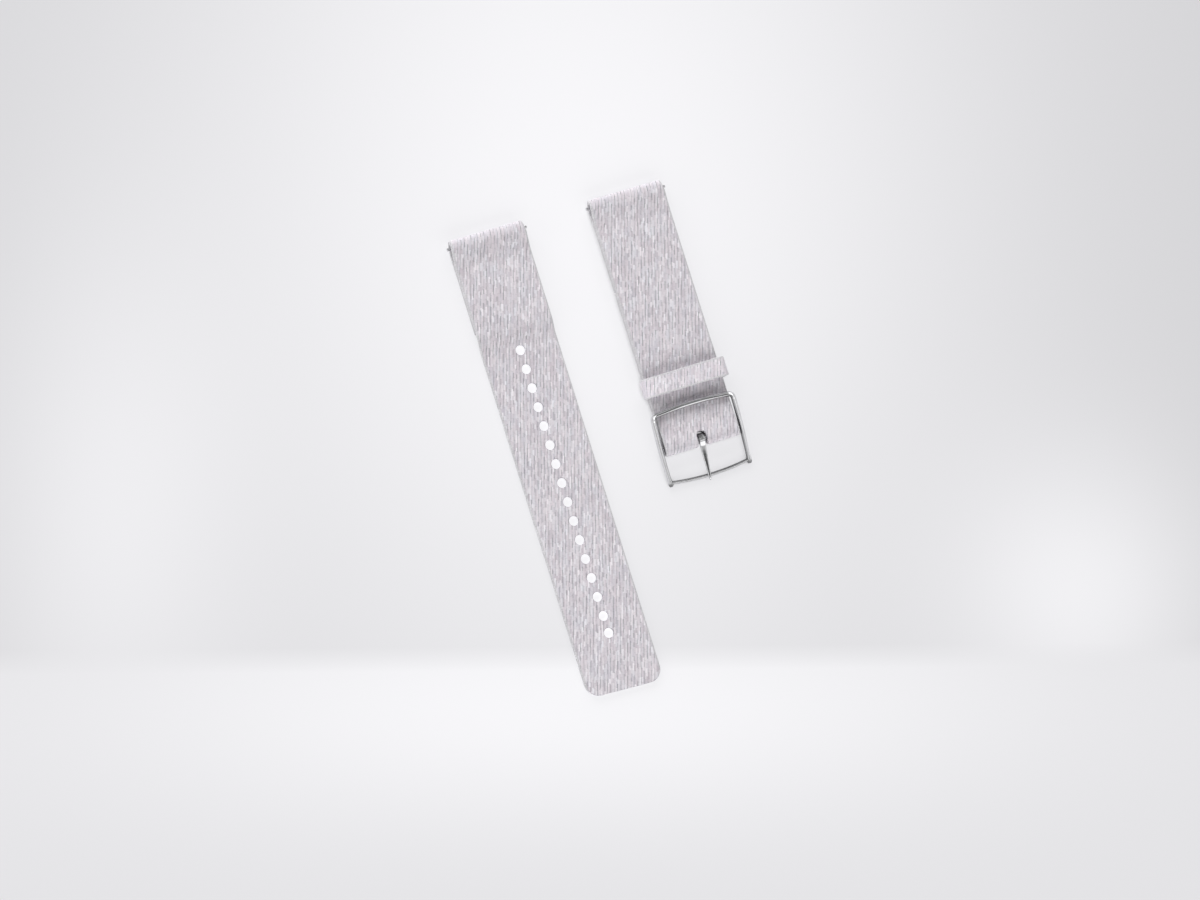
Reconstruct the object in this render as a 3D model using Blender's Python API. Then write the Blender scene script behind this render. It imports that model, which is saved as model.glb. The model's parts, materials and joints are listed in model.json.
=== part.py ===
"""Two-piece woven watch strap for 20 mm lugs, both halves lying face up, side by side.

Metres, +Z up, table at z = 0. X runs across the strap and +Y points to the ends that
meet the watch. The origin is on the table, under the middle of both halves.
"""
import math

import bmesh
import bpy
from mathutils import Vector

MM = 0.001

# Webbing
LUG_WIDTH = 20.0 * MM
LUG_CLEARANCE = 0.3 * MM
WEBBING_THICKNESS = 1.1 * MM
SELVEDGE_ROUNDING = 0.25 * MM
FOLD_TAPER_LENGTH = 3.5 * MM
PLY_GAP = 0.3 * MM
FILM_FIT = 0.05 * MM
FILM_EDGE_MARGIN = 0.8 * MM
FOLD_BACK_LENGTH = 24.5 * MM
TEARDROP_LENGTH = 6.0 * MM
HALVES_PITCH = 37.55 * MM

# Long half
LONG_LENGTH = 120.5 * MM
STEP_DOWN_LENGTH = 5.0 * MM
STEP_DOWN_LEAD = 0.4 * MM
TIP_CORNER_RADIUS = 3.6 * MM
HOLE_DIAMETER = 2.5 * MM
FIRST_HOLE_FROM_TOP = 31.3 * MM
HOLE_PITCH = 5.0 * MM
LEAST_HOLE_PITCH = 4.0 * MM
LAST_HOLE_FROM_TIP = 14.75 * MM

# Short half
SHORT_LENGTH = 67.8 * MM
BUTT_GAP = 0.5 * MM
SLOT_DEPTH = 3.9 * MM
SLOT_SIDE_CLEARANCE = 0.45 * MM

# Spring bars
BAR_DIAMETER = 1.5 * MM
BAR_FIT = 0.15 * MM
TUBE_WALL = 0.2 * MM
TUBE_END_INSET = 0.7 * MM
RIM_THICKNESS = 0.25 * MM
PIN_FIT = 0.05 * MM
PIN_DIAMETER = 0.8 * MM
PIN_CHAMFER = 0.1 * MM
PIN_REACH = 0.75 * MM
FIXED_HEAD_LENGTH = 2.0 * MM
RELEASE_HEAD_LENGTH = 3.2 * MM
RELEASE_TRAVEL = 1.5 * MM
LEVER_FROM_SHOULDER = 1.6 * MM
LEVER_STEM_DIAMETER = 0.55 * MM
LEVER_STEM_DEPTH = 0.6 * MM
LEVER_KNOB_DIAMETER = 1.3 * MM
LEVER_KNOB_HEIGHT = 0.95 * MM
LEVER_KNOB_ROUNDING = 0.2 * MM
LEVER_WINDOW_MARGIN = 0.45 * MM
SPRING_WIRE = 0.2 * MM
SPRING_FIT = 0.06 * MM
SPRING_TURNS = 10

# Keeper loop
KEEPER_FROM_BUCKLE = 3.2 * MM
KEEPER_WIDTH = 5.0 * MM
KEEPER_THICKNESS = 0.65 * MM
KEEPER_SIDE_CLEARANCE = 0.4 * MM
KEEPER_UNDER_CLEARANCE = 0.07 * MM
KEEPER_HEADROOM = 1.45 * MM
KEEPER_ARCH = 0.2 * MM
KEEPER_LOW_RADIUS = 0.8 * MM
KEEPER_HIGH_RADIUS = 1.5 * MM

# Buckle frame
ARM_CLEARANCE = 0.45 * MM
ARM_WIDTH = 1.15 * MM
ARM_END_WIDTH = 0.95 * MM
ARM_HEIGHT = 1.7 * MM
ARM_END_HEIGHT = 1.25 * MM
ARM_BOW = 0.25 * MM
ARM_REACH = 9.6 * MM
ARM_END_LIFT = 0.4 * MM
LUG_NOSE_SHARE = 0.35
TOP_BAR_REACH = 9.45 * MM
TOP_BAR_WIDTH = 1.3 * MM
TOP_BAR_HEIGHT = 1.2 * MM
TOP_BAR_BOW = 0.4 * MM
FRAME_CORNER_RADIUS = 1.5 * MM
FRAME_ROUNDING = 0.35 * MM
FRAME_RISE = 0.2 * MM
FRAME_SEAT_GAP = 0.05 * MM
SOCKET_DEPTH = 0.75 * MM
ROD_DIAMETER = 0.86 * MM
ROD_REACH = 8.65 * MM
ROD_BOW = 0.8 * MM
ROD_SOCKET_DEPTH = 0.65 * MM
ROD_FIT = 0.03 * MM

# Buckle tang
TANG_THICKNESS = 0.55 * MM
TANG_FIT = 0.06 * MM
TANG_WIDTH = 1.6 * MM
TANG_TIP_WIDTH = 0.7 * MM
TANG_TIP_THICKNESS = 0.45 * MM
TANG_LENGTH = 10.9 * MM
TANG_NOSE_LENGTH = 0.5 * MM
TANG_TIP_DROOP = 0.25 * MM
TANG_SEAT_GAP = 0.05 * MM
TANG_ROUNDING = 0.14 * MM
TANG_LAP_ANGLE = math.radians(22)
TANG_PLAY_ANGLE = math.radians(3)

# One overrun for every cut
CUT_OVERRUN = 0.5 * MM

# Facets
ARC_STEPS = 10
BLEND_STEPS = 7
CORNER_STEPS = 5
ROUND_SIDES = 16
ROD_SIDES = 10
HOLE_SIDES = 20
WIRE_SIDES = 5
STEPS_PER_TURN = 8
SHARP_ANGLE = math.radians(35)
FULL_TURN = math.pi * 2
HALF_TURN = math.pi
QUARTER_TURN = math.pi / 2

# Worked out from the sizes above
HALF_THICKNESS = WEBBING_THICKNESS / 2
BODY_HALF = LUG_WIDTH / 2
FOLD_HALF = BODY_HALF - LUG_CLEARANCE
BAR_RADIUS = BAR_DIAMETER / 2
PIN_RADIUS = PIN_DIAMETER / 2
LOOP_INNER = BAR_RADIUS + BAR_FIT
LOOP_MID = LOOP_INNER + HALF_THICKNESS
LOOP_OUTER = LOOP_INNER + WEBBING_THICKNESS
BAR_HEIGHT = LOOP_OUTER
PLY_PITCH = WEBBING_THICKNESS + PLY_GAP
TUBE_HALF = BODY_HALF - TUBE_END_INSET
TUBE_BORE = BAR_RADIUS - TUBE_WALL
RIM_BORE = PIN_RADIUS + PIN_FIT
HEAD_RADIUS = TUBE_BORE - PIN_FIT
SHOULDER = TUBE_HALF - RIM_THICKNESS - PIN_FIT
LEVER_X = -(SHOULDER - LEVER_FROM_SHOULDER)
PIN_TIP = BODY_HALF + PIN_REACH

LONG_TOP = LONG_LENGTH / 2
LONG_TIP = -LONG_LENGTH / 2
BAR_Y = LONG_TOP - LOOP_OUTER
FOLD_BACK_Y = LONG_TOP - FOLD_BACK_LENGTH
BUCKLE_END_Y = LONG_TOP - SHORT_LENGTH
BUCKLE_Y = BUCKLE_END_Y + LOOP_OUTER
UPPER_PLY = BAR_HEIGHT + PLY_PITCH / 2
LOWER_PLY = BAR_HEIGHT - PLY_PITCH / 2
SHORT_FACE = UPPER_PLY + HALF_THICKNESS
SHORT_UNDERSIDE = LOWER_PLY - HALF_THICKNESS

ARM_INNER = BODY_HALF + ARM_CLEARANCE
ARM_OUTER = ARM_INNER + ARM_WIDTH
BUCKLE_PIN_TIP = ARM_INNER + SOCKET_DEPTH - PIN_FIT
ROD_RADIUS = ROD_DIAMETER / 2

CENTRING = (PIN_TIP - ARM_OUTER) / 2
LONG_X = CENTRING - HALVES_PITCH / 2
SHORT_X = CENTRING + HALVES_PITCH / 2


def clear_scene():
    """Remove whatever the scene already holds."""
    for old in list(bpy.data.objects):
        bpy.data.objects.remove(old, do_unlink=True)


def material(name, colour, roughness, metallic):
    """Return a Principled material in one plain colour."""
    made = bpy.data.materials.new(name)
    made.use_nodes = True
    shader = made.node_tree.nodes["Principled BSDF"]
    shader.inputs["Base Color"].default_value = (*colour, 1)
    shader.inputs["Roughness"].default_value = roughness
    shader.inputs["Metallic"].default_value = metallic
    return made


def fabric(name):
    """Heathered grey-lilac webbing."""
    return material(name, (0.61, 0.585, 0.625), 0.85, 0)


def steel(name):
    """Polished stainless steel."""
    return material(name, (0.72, 0.72, 0.74), 0.16, 1)


def spring_steel(name):
    """Plain drawn spring wire."""
    return material(name, (0.45, 0.45, 0.47), 0.35, 1)


def clear_film(name):
    """Clear hot-melt adhesive."""
    return material(name, (0.78, 0.76, 0.7), 0.5, 0)


def add_object(name, bm, finish, place):
    """Turn a bmesh into a named object that is shaded smooth, with its origin at place."""
    bmesh.ops.recalc_face_normals(bm, faces=bm.faces)
    mesh = bpy.data.meshes.new(name)
    bm.to_mesh(mesh)
    bm.free()
    mesh.shade_smooth()
    mesh.set_sharp_from_angle(angle=SHARP_ANGLE)
    made = bpy.data.objects.new(name, mesh)
    made.location = place
    if finish:
        mesh.materials.append(finish(name))
    bpy.context.scene.collection.objects.link(made)
    return made


def cut(target, name, bm, place):
    """Cut a shape out of an object, and keep the cutter as a hidden guide."""
    cutter = add_object(name, bm, None, place)
    cutter.hide_render = True
    cutter.display_type = "WIRE"
    boolean = target.modifiers.new(name, "BOOLEAN")
    boolean.operation = "DIFFERENCE"
    boolean.solver = "EXACT"
    boolean.object = cutter
    return cutter


def loft(rings, closed=False):
    """Skin rings of equal count. An open loft is capped at both ends."""
    bm = bmesh.new()
    rows = [[bm.verts.new(point) for point in ring] for ring in rings]
    pairs = list(zip(rows, rows[1:]))
    if closed:
        pairs.append((rows[-1], rows[0]))
    for near, far in pairs:
        for index, corner in enumerate(near):
            after = (index + 1) % len(near)
            bm.faces.new((corner, near[after], far[after], far[index]))
    if not closed:
        bm.faces.new(rows[0])
        bm.faces.new(rows[-1])
    return bm


def block(low, high):
    """A box between two corners."""
    bm = bmesh.new()
    bmesh.ops.create_cube(bm, size=1)
    size = Vector(high) - Vector(low)
    bmesh.ops.scale(bm, vec=size, verts=bm.verts)
    bmesh.ops.translate(bm, vec=(Vector(high) + Vector(low)) / 2, verts=bm.verts)
    return bm


def circle(radius, sides, start=0):
    """Points round a circle."""
    turns = [start + FULL_TURN * step / sides for step in range(sides)]
    return [(radius * math.cos(turn), radius * math.sin(turn)) for turn in turns]


def turned(profile, place, closed=False, sides=ROUND_SIDES):
    """Turn a profile of (distance along the axis, radius) pairs."""
    rings = []
    for along, radius in profile:
        rings.append([place(along, u, v) for u, v in circle(radius, sides)])
    return loft(rings, closed)


def about_x(along, u, v):
    return Vector((along, u, v))


def about_z(along, u, v):
    return Vector((u, v, along))


def soft_box(half_width, half_height, rounding, steps=1):
    """Section points of a rectangle with rounded corners: (across, up) pairs."""
    points = []
    corners = ((1, 1), (-1, 1), (-1, -1), (1, -1))
    for quarter, (side, level) in enumerate(corners):
        for step in range(steps + 1):
            turn = QUARTER_TURN * (quarter + step / steps)
            across = side * (half_width - rounding) + rounding * math.cos(turn)
            up = level * (half_height - rounding) + rounding * math.sin(turn)
            points.append((across, up))
    return points


def path_normals(path, closed):
    """Unit normals of a path in a plane, from its neighbours on both sides."""
    normals = []
    last = len(path) - 1
    for index in range(len(path)):
        if closed:
            before = path[index - 1]
            after = path[(index + 1) % len(path)]
        else:
            before = path[max(index - 1, 0)]
            after = path[min(index + 1, last)]
        along = (Vector(after) - Vector(before)).normalized()
        normals.append(Vector((-along.y, along.x)))
    return normals


def sweep(path, sections, place, closed=False):
    """Carry a section along a path in a plane. place(p, q, across) gives the 3-D point."""
    rings = []
    for point, normal, section in zip(path, path_normals(path, closed), sections):
        ring = []
        for across, up in section:
            p = point[0] + normal.x * up
            q = point[1] + normal.y * up
            ring.append(place(p, q, across))
        rings.append(ring)
    return loft(rings, closed)


def along_strap(y, z, across):
    return Vector((across, y, z))


def round_strap(x, z, across):
    return Vector((x, across, z))


def in_frame_plane(x, y, across):
    return Vector((x, y, across))


def ease(share):
    """Smooth step from 0 to 1."""
    share = min(max(share, 0), 1)
    return share * share * (3 - 2 * share)


def blend(start, end, steps=BLEND_STEPS):
    """Points of an S-shaped ramp after its start, up to its end."""
    points = []
    for step in range(1, steps + 1):
        share = step / steps
        y = start[0] + (end[0] - start[0]) * share
        z = start[1] + (end[1] - start[1]) * ease(share)
        points.append((y, z))
    return points


def fold(bar_y, start, turn):
    """Points of the half circle of webbing round a bar, turning from start by turn."""
    points = []
    for step in range(ARC_STEPS + 1):
        angle = start + turn * step / ARC_STEPS
        y = bar_y + LOOP_MID * math.cos(angle)
        z = BAR_HEIGHT + LOOP_MID * math.sin(angle)
        points.append((y, z))
    return points


def webbing_half_width(y):
    """Half the webbing's width, which narrows towards the fold between the lugs."""
    share = (LONG_TOP - y) / FOLD_TAPER_LENGTH
    return FOLD_HALF + (BODY_HALF - FOLD_HALF) * ease(share)


def webbing_section(half_width):
    return soft_box(half_width, HALF_THICKNESS, SELVEDGE_ROUNDING)


def hole_places():
    """Y of each punched hole: an even row from the fold, and one set from the tip."""
    first = LONG_TOP - FIRST_HOLE_FROM_TOP
    last = LONG_TIP + LAST_HOLE_FROM_TIP
    even = int((first - last - LEAST_HOLE_PITCH) / HOLE_PITCH) + 1
    places = [first - HOLE_PITCH * index for index in range(even)]
    places.append(last)
    return places


def long_path():
    """Middle line of the long half's webbing, from the fold-back end to the rounded tip."""
    stacked = HALF_THICKNESS + PLY_PITCH
    step_start = FOLD_BACK_Y - STEP_DOWN_LEAD
    holes = hole_places()
    path = [(FOLD_BACK_Y, HALF_THICKNESS), (BAR_Y - TEARDROP_LENGTH, HALF_THICKNESS)]
    path += fold(BAR_Y, -QUARTER_TURN, HALF_TURN)
    path += blend(path[-1], (BAR_Y - TEARDROP_LENGTH, stacked))
    path.append((step_start, stacked))
    path += blend(path[-1], (step_start - STEP_DOWN_LENGTH, HALF_THICKNESS))
    for hole, after in zip(holes, holes[1:]):
        path.append(((hole + after) / 2, HALF_THICKNESS))
    path.append((holes[-1] - HOLE_PITCH / 2, HALF_THICKNESS))
    return path


def tip_stations():
    """(y, half width) along the rounded corners of the tip."""
    stations = []
    for step in range(CORNER_STEPS + 1):
        turn = QUARTER_TURN * step / CORNER_STEPS
        y = LONG_TIP + TIP_CORNER_RADIUS * (1 - math.sin(turn))
        half_width = BODY_HALF - TIP_CORNER_RADIUS * (1 - math.cos(turn))
        stations.append((y, half_width))
    return stations


def hole_punches():
    """All the round punches in one cutter."""
    bm = bmesh.new()
    depth = WEBBING_THICKNESS + CUT_OVERRUN * 2
    for y in hole_places():
        made = bmesh.ops.create_cone(
            bm, cap_ends=True, segments=HOLE_SIDES, radius1=HOLE_DIAMETER / 2,
            radius2=HOLE_DIAMETER / 2, depth=depth)
        bmesh.ops.translate(bm, vec=(0, y, HALF_THICKNESS), verts=made["verts"])
    return bm


def lever_window(bar_y):
    """Cut-out under the fold that leaves the release lever free along its travel."""
    reach = LEVER_KNOB_DIAMETER / 2 + LEVER_WINDOW_MARGIN
    top = BAR_HEIGHT - BAR_RADIUS / 2
    low = (LEVER_X - reach, bar_y - reach, -CUT_OVERRUN)
    high = (LEVER_X + RELEASE_TRAVEL + reach, bar_y + reach, top)
    return block(low, high)


def make_long_strap():
    path = long_path()
    widths = [webbing_half_width(y) for y, z in path]
    for y, half_width in tip_stations():
        path.append((y, HALF_THICKNESS))
        widths.append(half_width)
    sections = [webbing_section(half_width) for half_width in widths]
    place = (LONG_X, 0, 0)
    strap = add_object("long_strap", sweep(path, sections, along_strap), fabric, place)
    cut(strap, "long_hole_punches", hole_punches(), place)
    cut(strap, "long_lever_window", lever_window(BAR_Y), place)


def make_long_film():
    half_width = BODY_HALF - FILM_EDGE_MARGIN
    low = (-half_width, FOLD_BACK_Y, WEBBING_THICKNESS + FILM_FIT)
    high = (half_width, BAR_Y - TEARDROP_LENGTH, WEBBING_THICKNESS + PLY_GAP - FILM_FIT)
    add_object("long_bond_film", block(low, high), clear_film, (LONG_X, 0, 0))


def short_path():
    """Middle line of the short half's webbing, round both bars, from butt end to butt end."""
    butt = (FOLD_BACK_Y - BUTT_GAP / 2, LOWER_PLY)
    buckle_ramp = BUCKLE_Y + TEARDROP_LENGTH
    watch_ramp = BAR_Y - TEARDROP_LENGTH
    path = [butt, (buckle_ramp, LOWER_PLY)]
    buckle_fold = fold(BUCKLE_Y, -QUARTER_TURN, -HALF_TURN)
    path += blend(path[-1], buckle_fold[0])
    path += buckle_fold[1:]
    path += blend(path[-1], (buckle_ramp, UPPER_PLY))
    path.append((watch_ramp, UPPER_PLY))
    watch_fold = fold(BAR_Y, QUARTER_TURN, -HALF_TURN)
    path += blend(path[-1], watch_fold[0])
    path += watch_fold[1:]
    path += blend(path[-1], (watch_ramp, LOWER_PLY))
    path.append((FOLD_BACK_Y + BUTT_GAP / 2, LOWER_PLY))
    return path


def tang_slot():
    """Slot with a round end, open at the fold, that the tang swings in."""
    half_width = TANG_WIDTH / 2 + SLOT_SIDE_CLEARANCE
    inner = BUCKLE_END_Y + SLOT_DEPTH - half_width
    outer = BUCKLE_END_Y - CUT_OVERRUN
    outline = [(-half_width, outer), (half_width, outer)]
    for step in range(ARC_STEPS + 1):
        turn = HALF_TURN * step / ARC_STEPS
        outline.append((half_width * math.cos(turn), inner + half_width * math.sin(turn)))
    levels = (-CUT_OVERRUN, BAR_HEIGHT + LOOP_OUTER + CUT_OVERRUN)
    return loft([[Vector((x, y, z)) for x, y in outline] for z in levels])


def make_short_strap():
    path = short_path()
    sections = [webbing_section(webbing_half_width(y)) for y, z in path]
    place = (SHORT_X, 0, 0)
    strap = add_object("short_strap", sweep(path, sections, along_strap), fabric, place)
    cut(strap, "short_tang_slot", tang_slot(), place)
    cut(strap, "short_lever_window", lever_window(BAR_Y), place)


def make_short_film():
    half_width = BODY_HALF - FILM_EDGE_MARGIN
    half_height = PLY_GAP / 2 - FILM_FIT
    low = (-half_width, BUCKLE_Y + TEARDROP_LENGTH, BAR_HEIGHT - half_height)
    high = (half_width, BAR_Y - TEARDROP_LENGTH, BAR_HEIGHT + half_height)
    add_object("short_bond_film", block(low, high), clear_film, (SHORT_X, 0, 0))


def tube_shape():
    """Tube whose ends are rolled in to hold the heads of its pins."""
    inner = TUBE_HALF - RIM_THICKNESS
    profile = [
        (-TUBE_HALF, RIM_BORE), (-TUBE_HALF, BAR_RADIUS), (TUBE_HALF, BAR_RADIUS),
        (TUBE_HALF, RIM_BORE), (inner, RIM_BORE), (inner, TUBE_BORE),
        (-inner, TUBE_BORE), (-inner, RIM_BORE)]
    return turned(profile, about_x, closed=True)


def pin_shape(tip, head_length, side):
    """End pin: a head inside the tube and a shank that ends in a chamfered tip."""
    inner_end = SHOULDER - head_length
    profile = [
        (side * inner_end, HEAD_RADIUS), (side * SHOULDER, HEAD_RADIUS),
        (side * SHOULDER, PIN_RADIUS), (side * (tip - PIN_CHAMFER), PIN_RADIUS),
        (side * tip, PIN_RADIUS - PIN_CHAMFER)]
    return turned(profile, about_x)


def lever_slot():
    """Round-ended slot under the tube that the lever's stem slides in."""
    half_width = LEVER_STEM_DIAMETER / 2 + PIN_FIT
    outline = []
    for centre, start in ((LEVER_X + RELEASE_TRAVEL, -QUARTER_TURN), (LEVER_X, QUARTER_TURN)):
        for step in range(CORNER_STEPS + 1):
            turn = start + HALF_TURN * step / CORNER_STEPS
            outline.append((centre + half_width * math.cos(turn), half_width * math.sin(turn)))
    levels = (-(BAR_RADIUS + CUT_OVERRUN), 0)
    return loft([[Vector((x, y, z)) for x, y in outline] for z in levels])


def lever_bore():
    """Blind hole under the release pin's head for the lever's stem."""
    radius = LEVER_STEM_DIAMETER / 2 + PIN_FIT / 2
    bottom = -(HEAD_RADIUS + CUT_OVERRUN)
    ceiling = LEVER_STEM_DEPTH - HEAD_RADIUS + PIN_FIT
    profile = [(bottom, radius), (ceiling, radius)]
    bm = turned(profile, about_z, sides=ROUND_SIDES)
    bmesh.ops.translate(bm, vec=(LEVER_X, 0, 0), verts=bm.verts)
    return bm


def lever_shape():
    """Stem pressed into the release pin, with a round knob under the tube."""
    stem = LEVER_STEM_DIAMETER / 2
    knob = LEVER_KNOB_DIAMETER / 2
    stem_top = LEVER_STEM_DEPTH - HEAD_RADIUS
    knob_top = -(BAR_RADIUS + PIN_FIT)
    knob_low = knob_top - LEVER_KNOB_HEIGHT
    profile = [
        (stem_top, stem), (knob_top, stem), (knob_top, knob - LEVER_KNOB_ROUNDING),
        (knob_top - LEVER_KNOB_ROUNDING, knob), (knob_low + LEVER_KNOB_ROUNDING, knob),
        (knob_low, knob - LEVER_KNOB_ROUNDING)]
    return turned(profile, about_z)


def spring_shape(start, end):
    """Round wire wound into a helix about X, between two pin heads."""
    wire = SPRING_WIRE / 2
    coil = TUBE_BORE - SPRING_FIT - wire
    first = start + wire + PIN_FIT
    length = end - wire - PIN_FIT - first
    steps = SPRING_TURNS * STEPS_PER_TURN
    climb = length / (SPRING_TURNS * FULL_TURN)
    rings = []
    for step in range(steps + 1):
        turn = FULL_TURN * step / STEPS_PER_TURN
        radial = Vector((0, math.cos(turn), math.sin(turn)))
        along = Vector((climb, -coil * math.sin(turn), coil * math.cos(turn))).normalized()
        beside = along.cross(radial)
        centre = Vector((first + length * step / steps, 0, 0)) + radial * coil
        rings.append([centre + radial * u + beside * v for u, v in circle(wire, WIRE_SIDES)])
    return loft(rings)


def make_release_bar(half, x):
    """Quick-release spring bar of one half: tube, two pins, lever and spring."""
    place = (x, BAR_Y, BAR_HEIGHT)
    lever_place = (x + LEVER_X, BAR_Y, BAR_HEIGHT)
    tube = add_object(half + "_bar_tube", tube_shape(), steel, place)
    cut(tube, half + "_lever_slot", lever_slot(), place)
    fixed = pin_shape(PIN_TIP, FIXED_HEAD_LENGTH, 1)
    add_object(half + "_bar_fixed_pin", fixed, steel, place)
    sliding = pin_shape(PIN_TIP, RELEASE_HEAD_LENGTH, -1)
    pin = add_object(half + "_bar_release_pin", sliding, steel, place)
    cut(pin, half + "_lever_bore", lever_bore(), place)
    add_object(half + "_bar_lever", lever_shape(), steel, lever_place)
    start = RELEASE_HEAD_LENGTH - SHOULDER
    end = SHOULDER - FIXED_HEAD_LENGTH
    add_object(half + "_bar_spring", spring_shape(start, end), spring_steel, place)


def make_buckle_bar(place):
    """Plain spring bar that carries the buckle: tube, two sprung tips and a spring."""
    add_object("buckle_bar_tube", tube_shape(), steel, place)
    for name, side in (("buckle_bar_left_tip", -1), ("buckle_bar_right_tip", 1)):
        shape = pin_shape(BUCKLE_PIN_TIP, FIXED_HEAD_LENGTH, side)
        add_object(name, shape, steel, place)
    end = SHOULDER - FIXED_HEAD_LENGTH
    add_object("buckle_bar_spring", spring_shape(-end, end), spring_steel, place)


def keeper_line():
    """Middle line of the keeper, round the strap's section, clockwise from low left."""
    half = KEEPER_THICKNESS / 2
    side = BODY_HALF + KEEPER_SIDE_CLEARANCE + half
    floor = SHORT_UNDERSIDE - KEEPER_UNDER_CLEARANCE - half
    shoulder = SHORT_FACE + KEEPER_HEADROOM + half
    corners = (
        (-side, floor, KEEPER_LOW_RADIUS, 1, HALF_TURN + QUARTER_TURN),
        (-side, shoulder, KEEPER_HIGH_RADIUS, -1, HALF_TURN),
        (side, shoulder, KEEPER_HIGH_RADIUS, -1, QUARTER_TURN),
        (side, floor, KEEPER_LOW_RADIUS, 1, 0))
    line = []
    for x, z, radius, level, start in corners:
        inward = 1 if x < 0 else -1
        for step in range(CORNER_STEPS + 1):
            turn = start - QUARTER_TURN * step / CORNER_STEPS
            across = x + inward * radius + radius * math.cos(turn)
            line.append((across, z + level * radius + radius * math.sin(turn)))
        if x < 0 and level < 0:
            line += keeper_crown(side - radius, z)
    return line


def keeper_crown(reach, shoulder):
    """The slightly arched top of the keeper, between its two upper corners."""
    crown = []
    for step in range(1, ARC_STEPS):
        share = step / ARC_STEPS
        lift = KEEPER_ARCH * math.sin(HALF_TURN * share)
        crown.append((reach * (share * 2 - 1), shoulder + lift))
    return crown


def make_keeper():
    line = keeper_line()
    section = soft_box(KEEPER_WIDTH / 2, KEEPER_THICKNESS / 2, SELVEDGE_ROUNDING)
    shape = sweep(line, [section] * len(line), round_strap, closed=True)
    buckle_edge = BUCKLE_Y + TOP_BAR_REACH + TOP_BAR_WIDTH / 2
    place = (SHORT_X, buckle_edge + KEEPER_FROM_BUCKLE + KEEPER_WIDTH / 2, 0)
    add_object("keeper_loop", shape, fabric, place)


def arm_inner(y):
    """Distance from the centre line to an arm's inner face, at y from the pivot."""
    return ARM_INNER - ARM_BOW * (y / TOP_BAR_REACH) ** 2


def arm_size(y):
    """Half width and half height of an arm, at y from the pivot."""
    if y > 0:
        share = ease(y / TOP_BAR_REACH)
        width = ARM_WIDTH + (TOP_BAR_WIDTH - ARM_WIDTH) * share
        height = ARM_HEIGHT + (TOP_BAR_HEIGHT - ARM_HEIGHT) * share
    else:
        share = ease(-y / ROD_REACH)
        width = ARM_WIDTH + (ARM_END_WIDTH - ARM_WIDTH) * share
        height = ARM_HEIGHT + (ARM_END_HEIGHT - ARM_HEIGHT) * share
    return width / 2, height / 2


def frame_section(width, height):
    """Section across the frame: (up, in the plane) pairs, with well rounded corners."""
    rounding = min(FRAME_ROUNDING, width / 2, height / 2)
    return soft_box(height, width, rounding, steps=2)


def frame_stations():
    """(x, y, section) from the right arm's lug to the middle of the top bar."""
    stations = []
    straight = TOP_BAR_REACH - TOP_BAR_BOW - FRAME_CORNER_RADIUS
    lug_start = ARM_END_HEIGHT / 2 - ARM_REACH
    for step in range(CORNER_STEPS):
        turn = QUARTER_TURN * step / CORNER_STEPS
        y = lug_start - ARM_END_HEIGHT / 2 * math.cos(turn)
        width, height = arm_size(y)
        share = max(math.sin(turn), LUG_NOSE_SHARE)
        section = frame_section(width * (1 + share) / 2, height * share)
        stations.append((arm_inner(y) + width, y, section))
    for step in range(ARC_STEPS + 1):
        y = lug_start + (straight - lug_start) * step / ARC_STEPS
        width, height = arm_size(y)
        stations.append((arm_inner(y) + width, y, frame_section(width, height)))
    top = frame_section(TOP_BAR_WIDTH / 2, TOP_BAR_HEIGHT / 2)
    reach = stations[-1][0] - FRAME_CORNER_RADIUS
    for step in range(1, CORNER_STEPS + 1):
        turn = QUARTER_TURN * step / CORNER_STEPS
        x = reach + FRAME_CORNER_RADIUS * math.cos(turn)
        stations.append((x, straight + FRAME_CORNER_RADIUS * math.sin(turn), top))
    for step in range(1, CORNER_STEPS + 1):
        x = reach * (1 - step / CORNER_STEPS)
        y = straight + FRAME_CORNER_RADIUS + bow(TOP_BAR_BOW, x / reach)
        stations.append((x, y, top))
    return stations


def bow(depth, share):
    """Outward bow of a bar: full in the middle, none from share 1 on."""
    return depth * (1 - min(share * share, 1))


def round_cutter(x, y, radius, depth):
    """Cylinder along X from a point, for a blind socket."""
    bm = turned([(x, radius), (x + depth, radius)], about_x)
    bmesh.ops.translate(bm, vec=(0, y, 0), verts=bm.verts)
    return bm


def frame_lift(y):
    """Height of the frame's middle over the bar's axis: the arms turn up to their lugs."""
    return FRAME_RISE + ARM_END_LIFT * (min(y, 0) / ARM_REACH) ** 2


def make_frame(pivot):
    right = frame_stations()
    left = [(-x, y, section) for x, y, section in reversed(right[:-1])]
    stations = right + left
    path = [(x, y) for x, y, section in stations]
    sections = [section for x, y, section in stations]
    shape = sweep(path, sections, in_frame_plane)
    for corner in shape.verts:
        corner.co.z += frame_lift(corner.co.y)
    frame = add_object("buckle_frame", shape, steel, (0, 0, 0))
    frame.parent = pivot
    rod_inner = arm_inner(ROD_REACH)
    for name, side in (("left", -1), ("right", 1)):
        start = side * (ARM_INNER - CUT_OVERRUN)
        depth = side * (SOCKET_DEPTH + CUT_OVERRUN)
        bar_socket = round_cutter(start, 0, RIM_BORE, depth)
        cutter = cut(frame, name + "_bar_socket", bar_socket, (0, 0, 0))
        cutter.parent = pivot
        start = side * (rod_inner - CUT_OVERRUN)
        depth = side * (ROD_SOCKET_DEPTH + CUT_OVERRUN)
        rod_socket = round_cutter(start, -ROD_REACH, ROD_RADIUS + ROD_FIT, depth)
        cutter = cut(frame, name + "_rod_socket", rod_socket, (0, 0, frame_lift(-ROD_REACH)))
        cutter.parent = pivot


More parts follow.
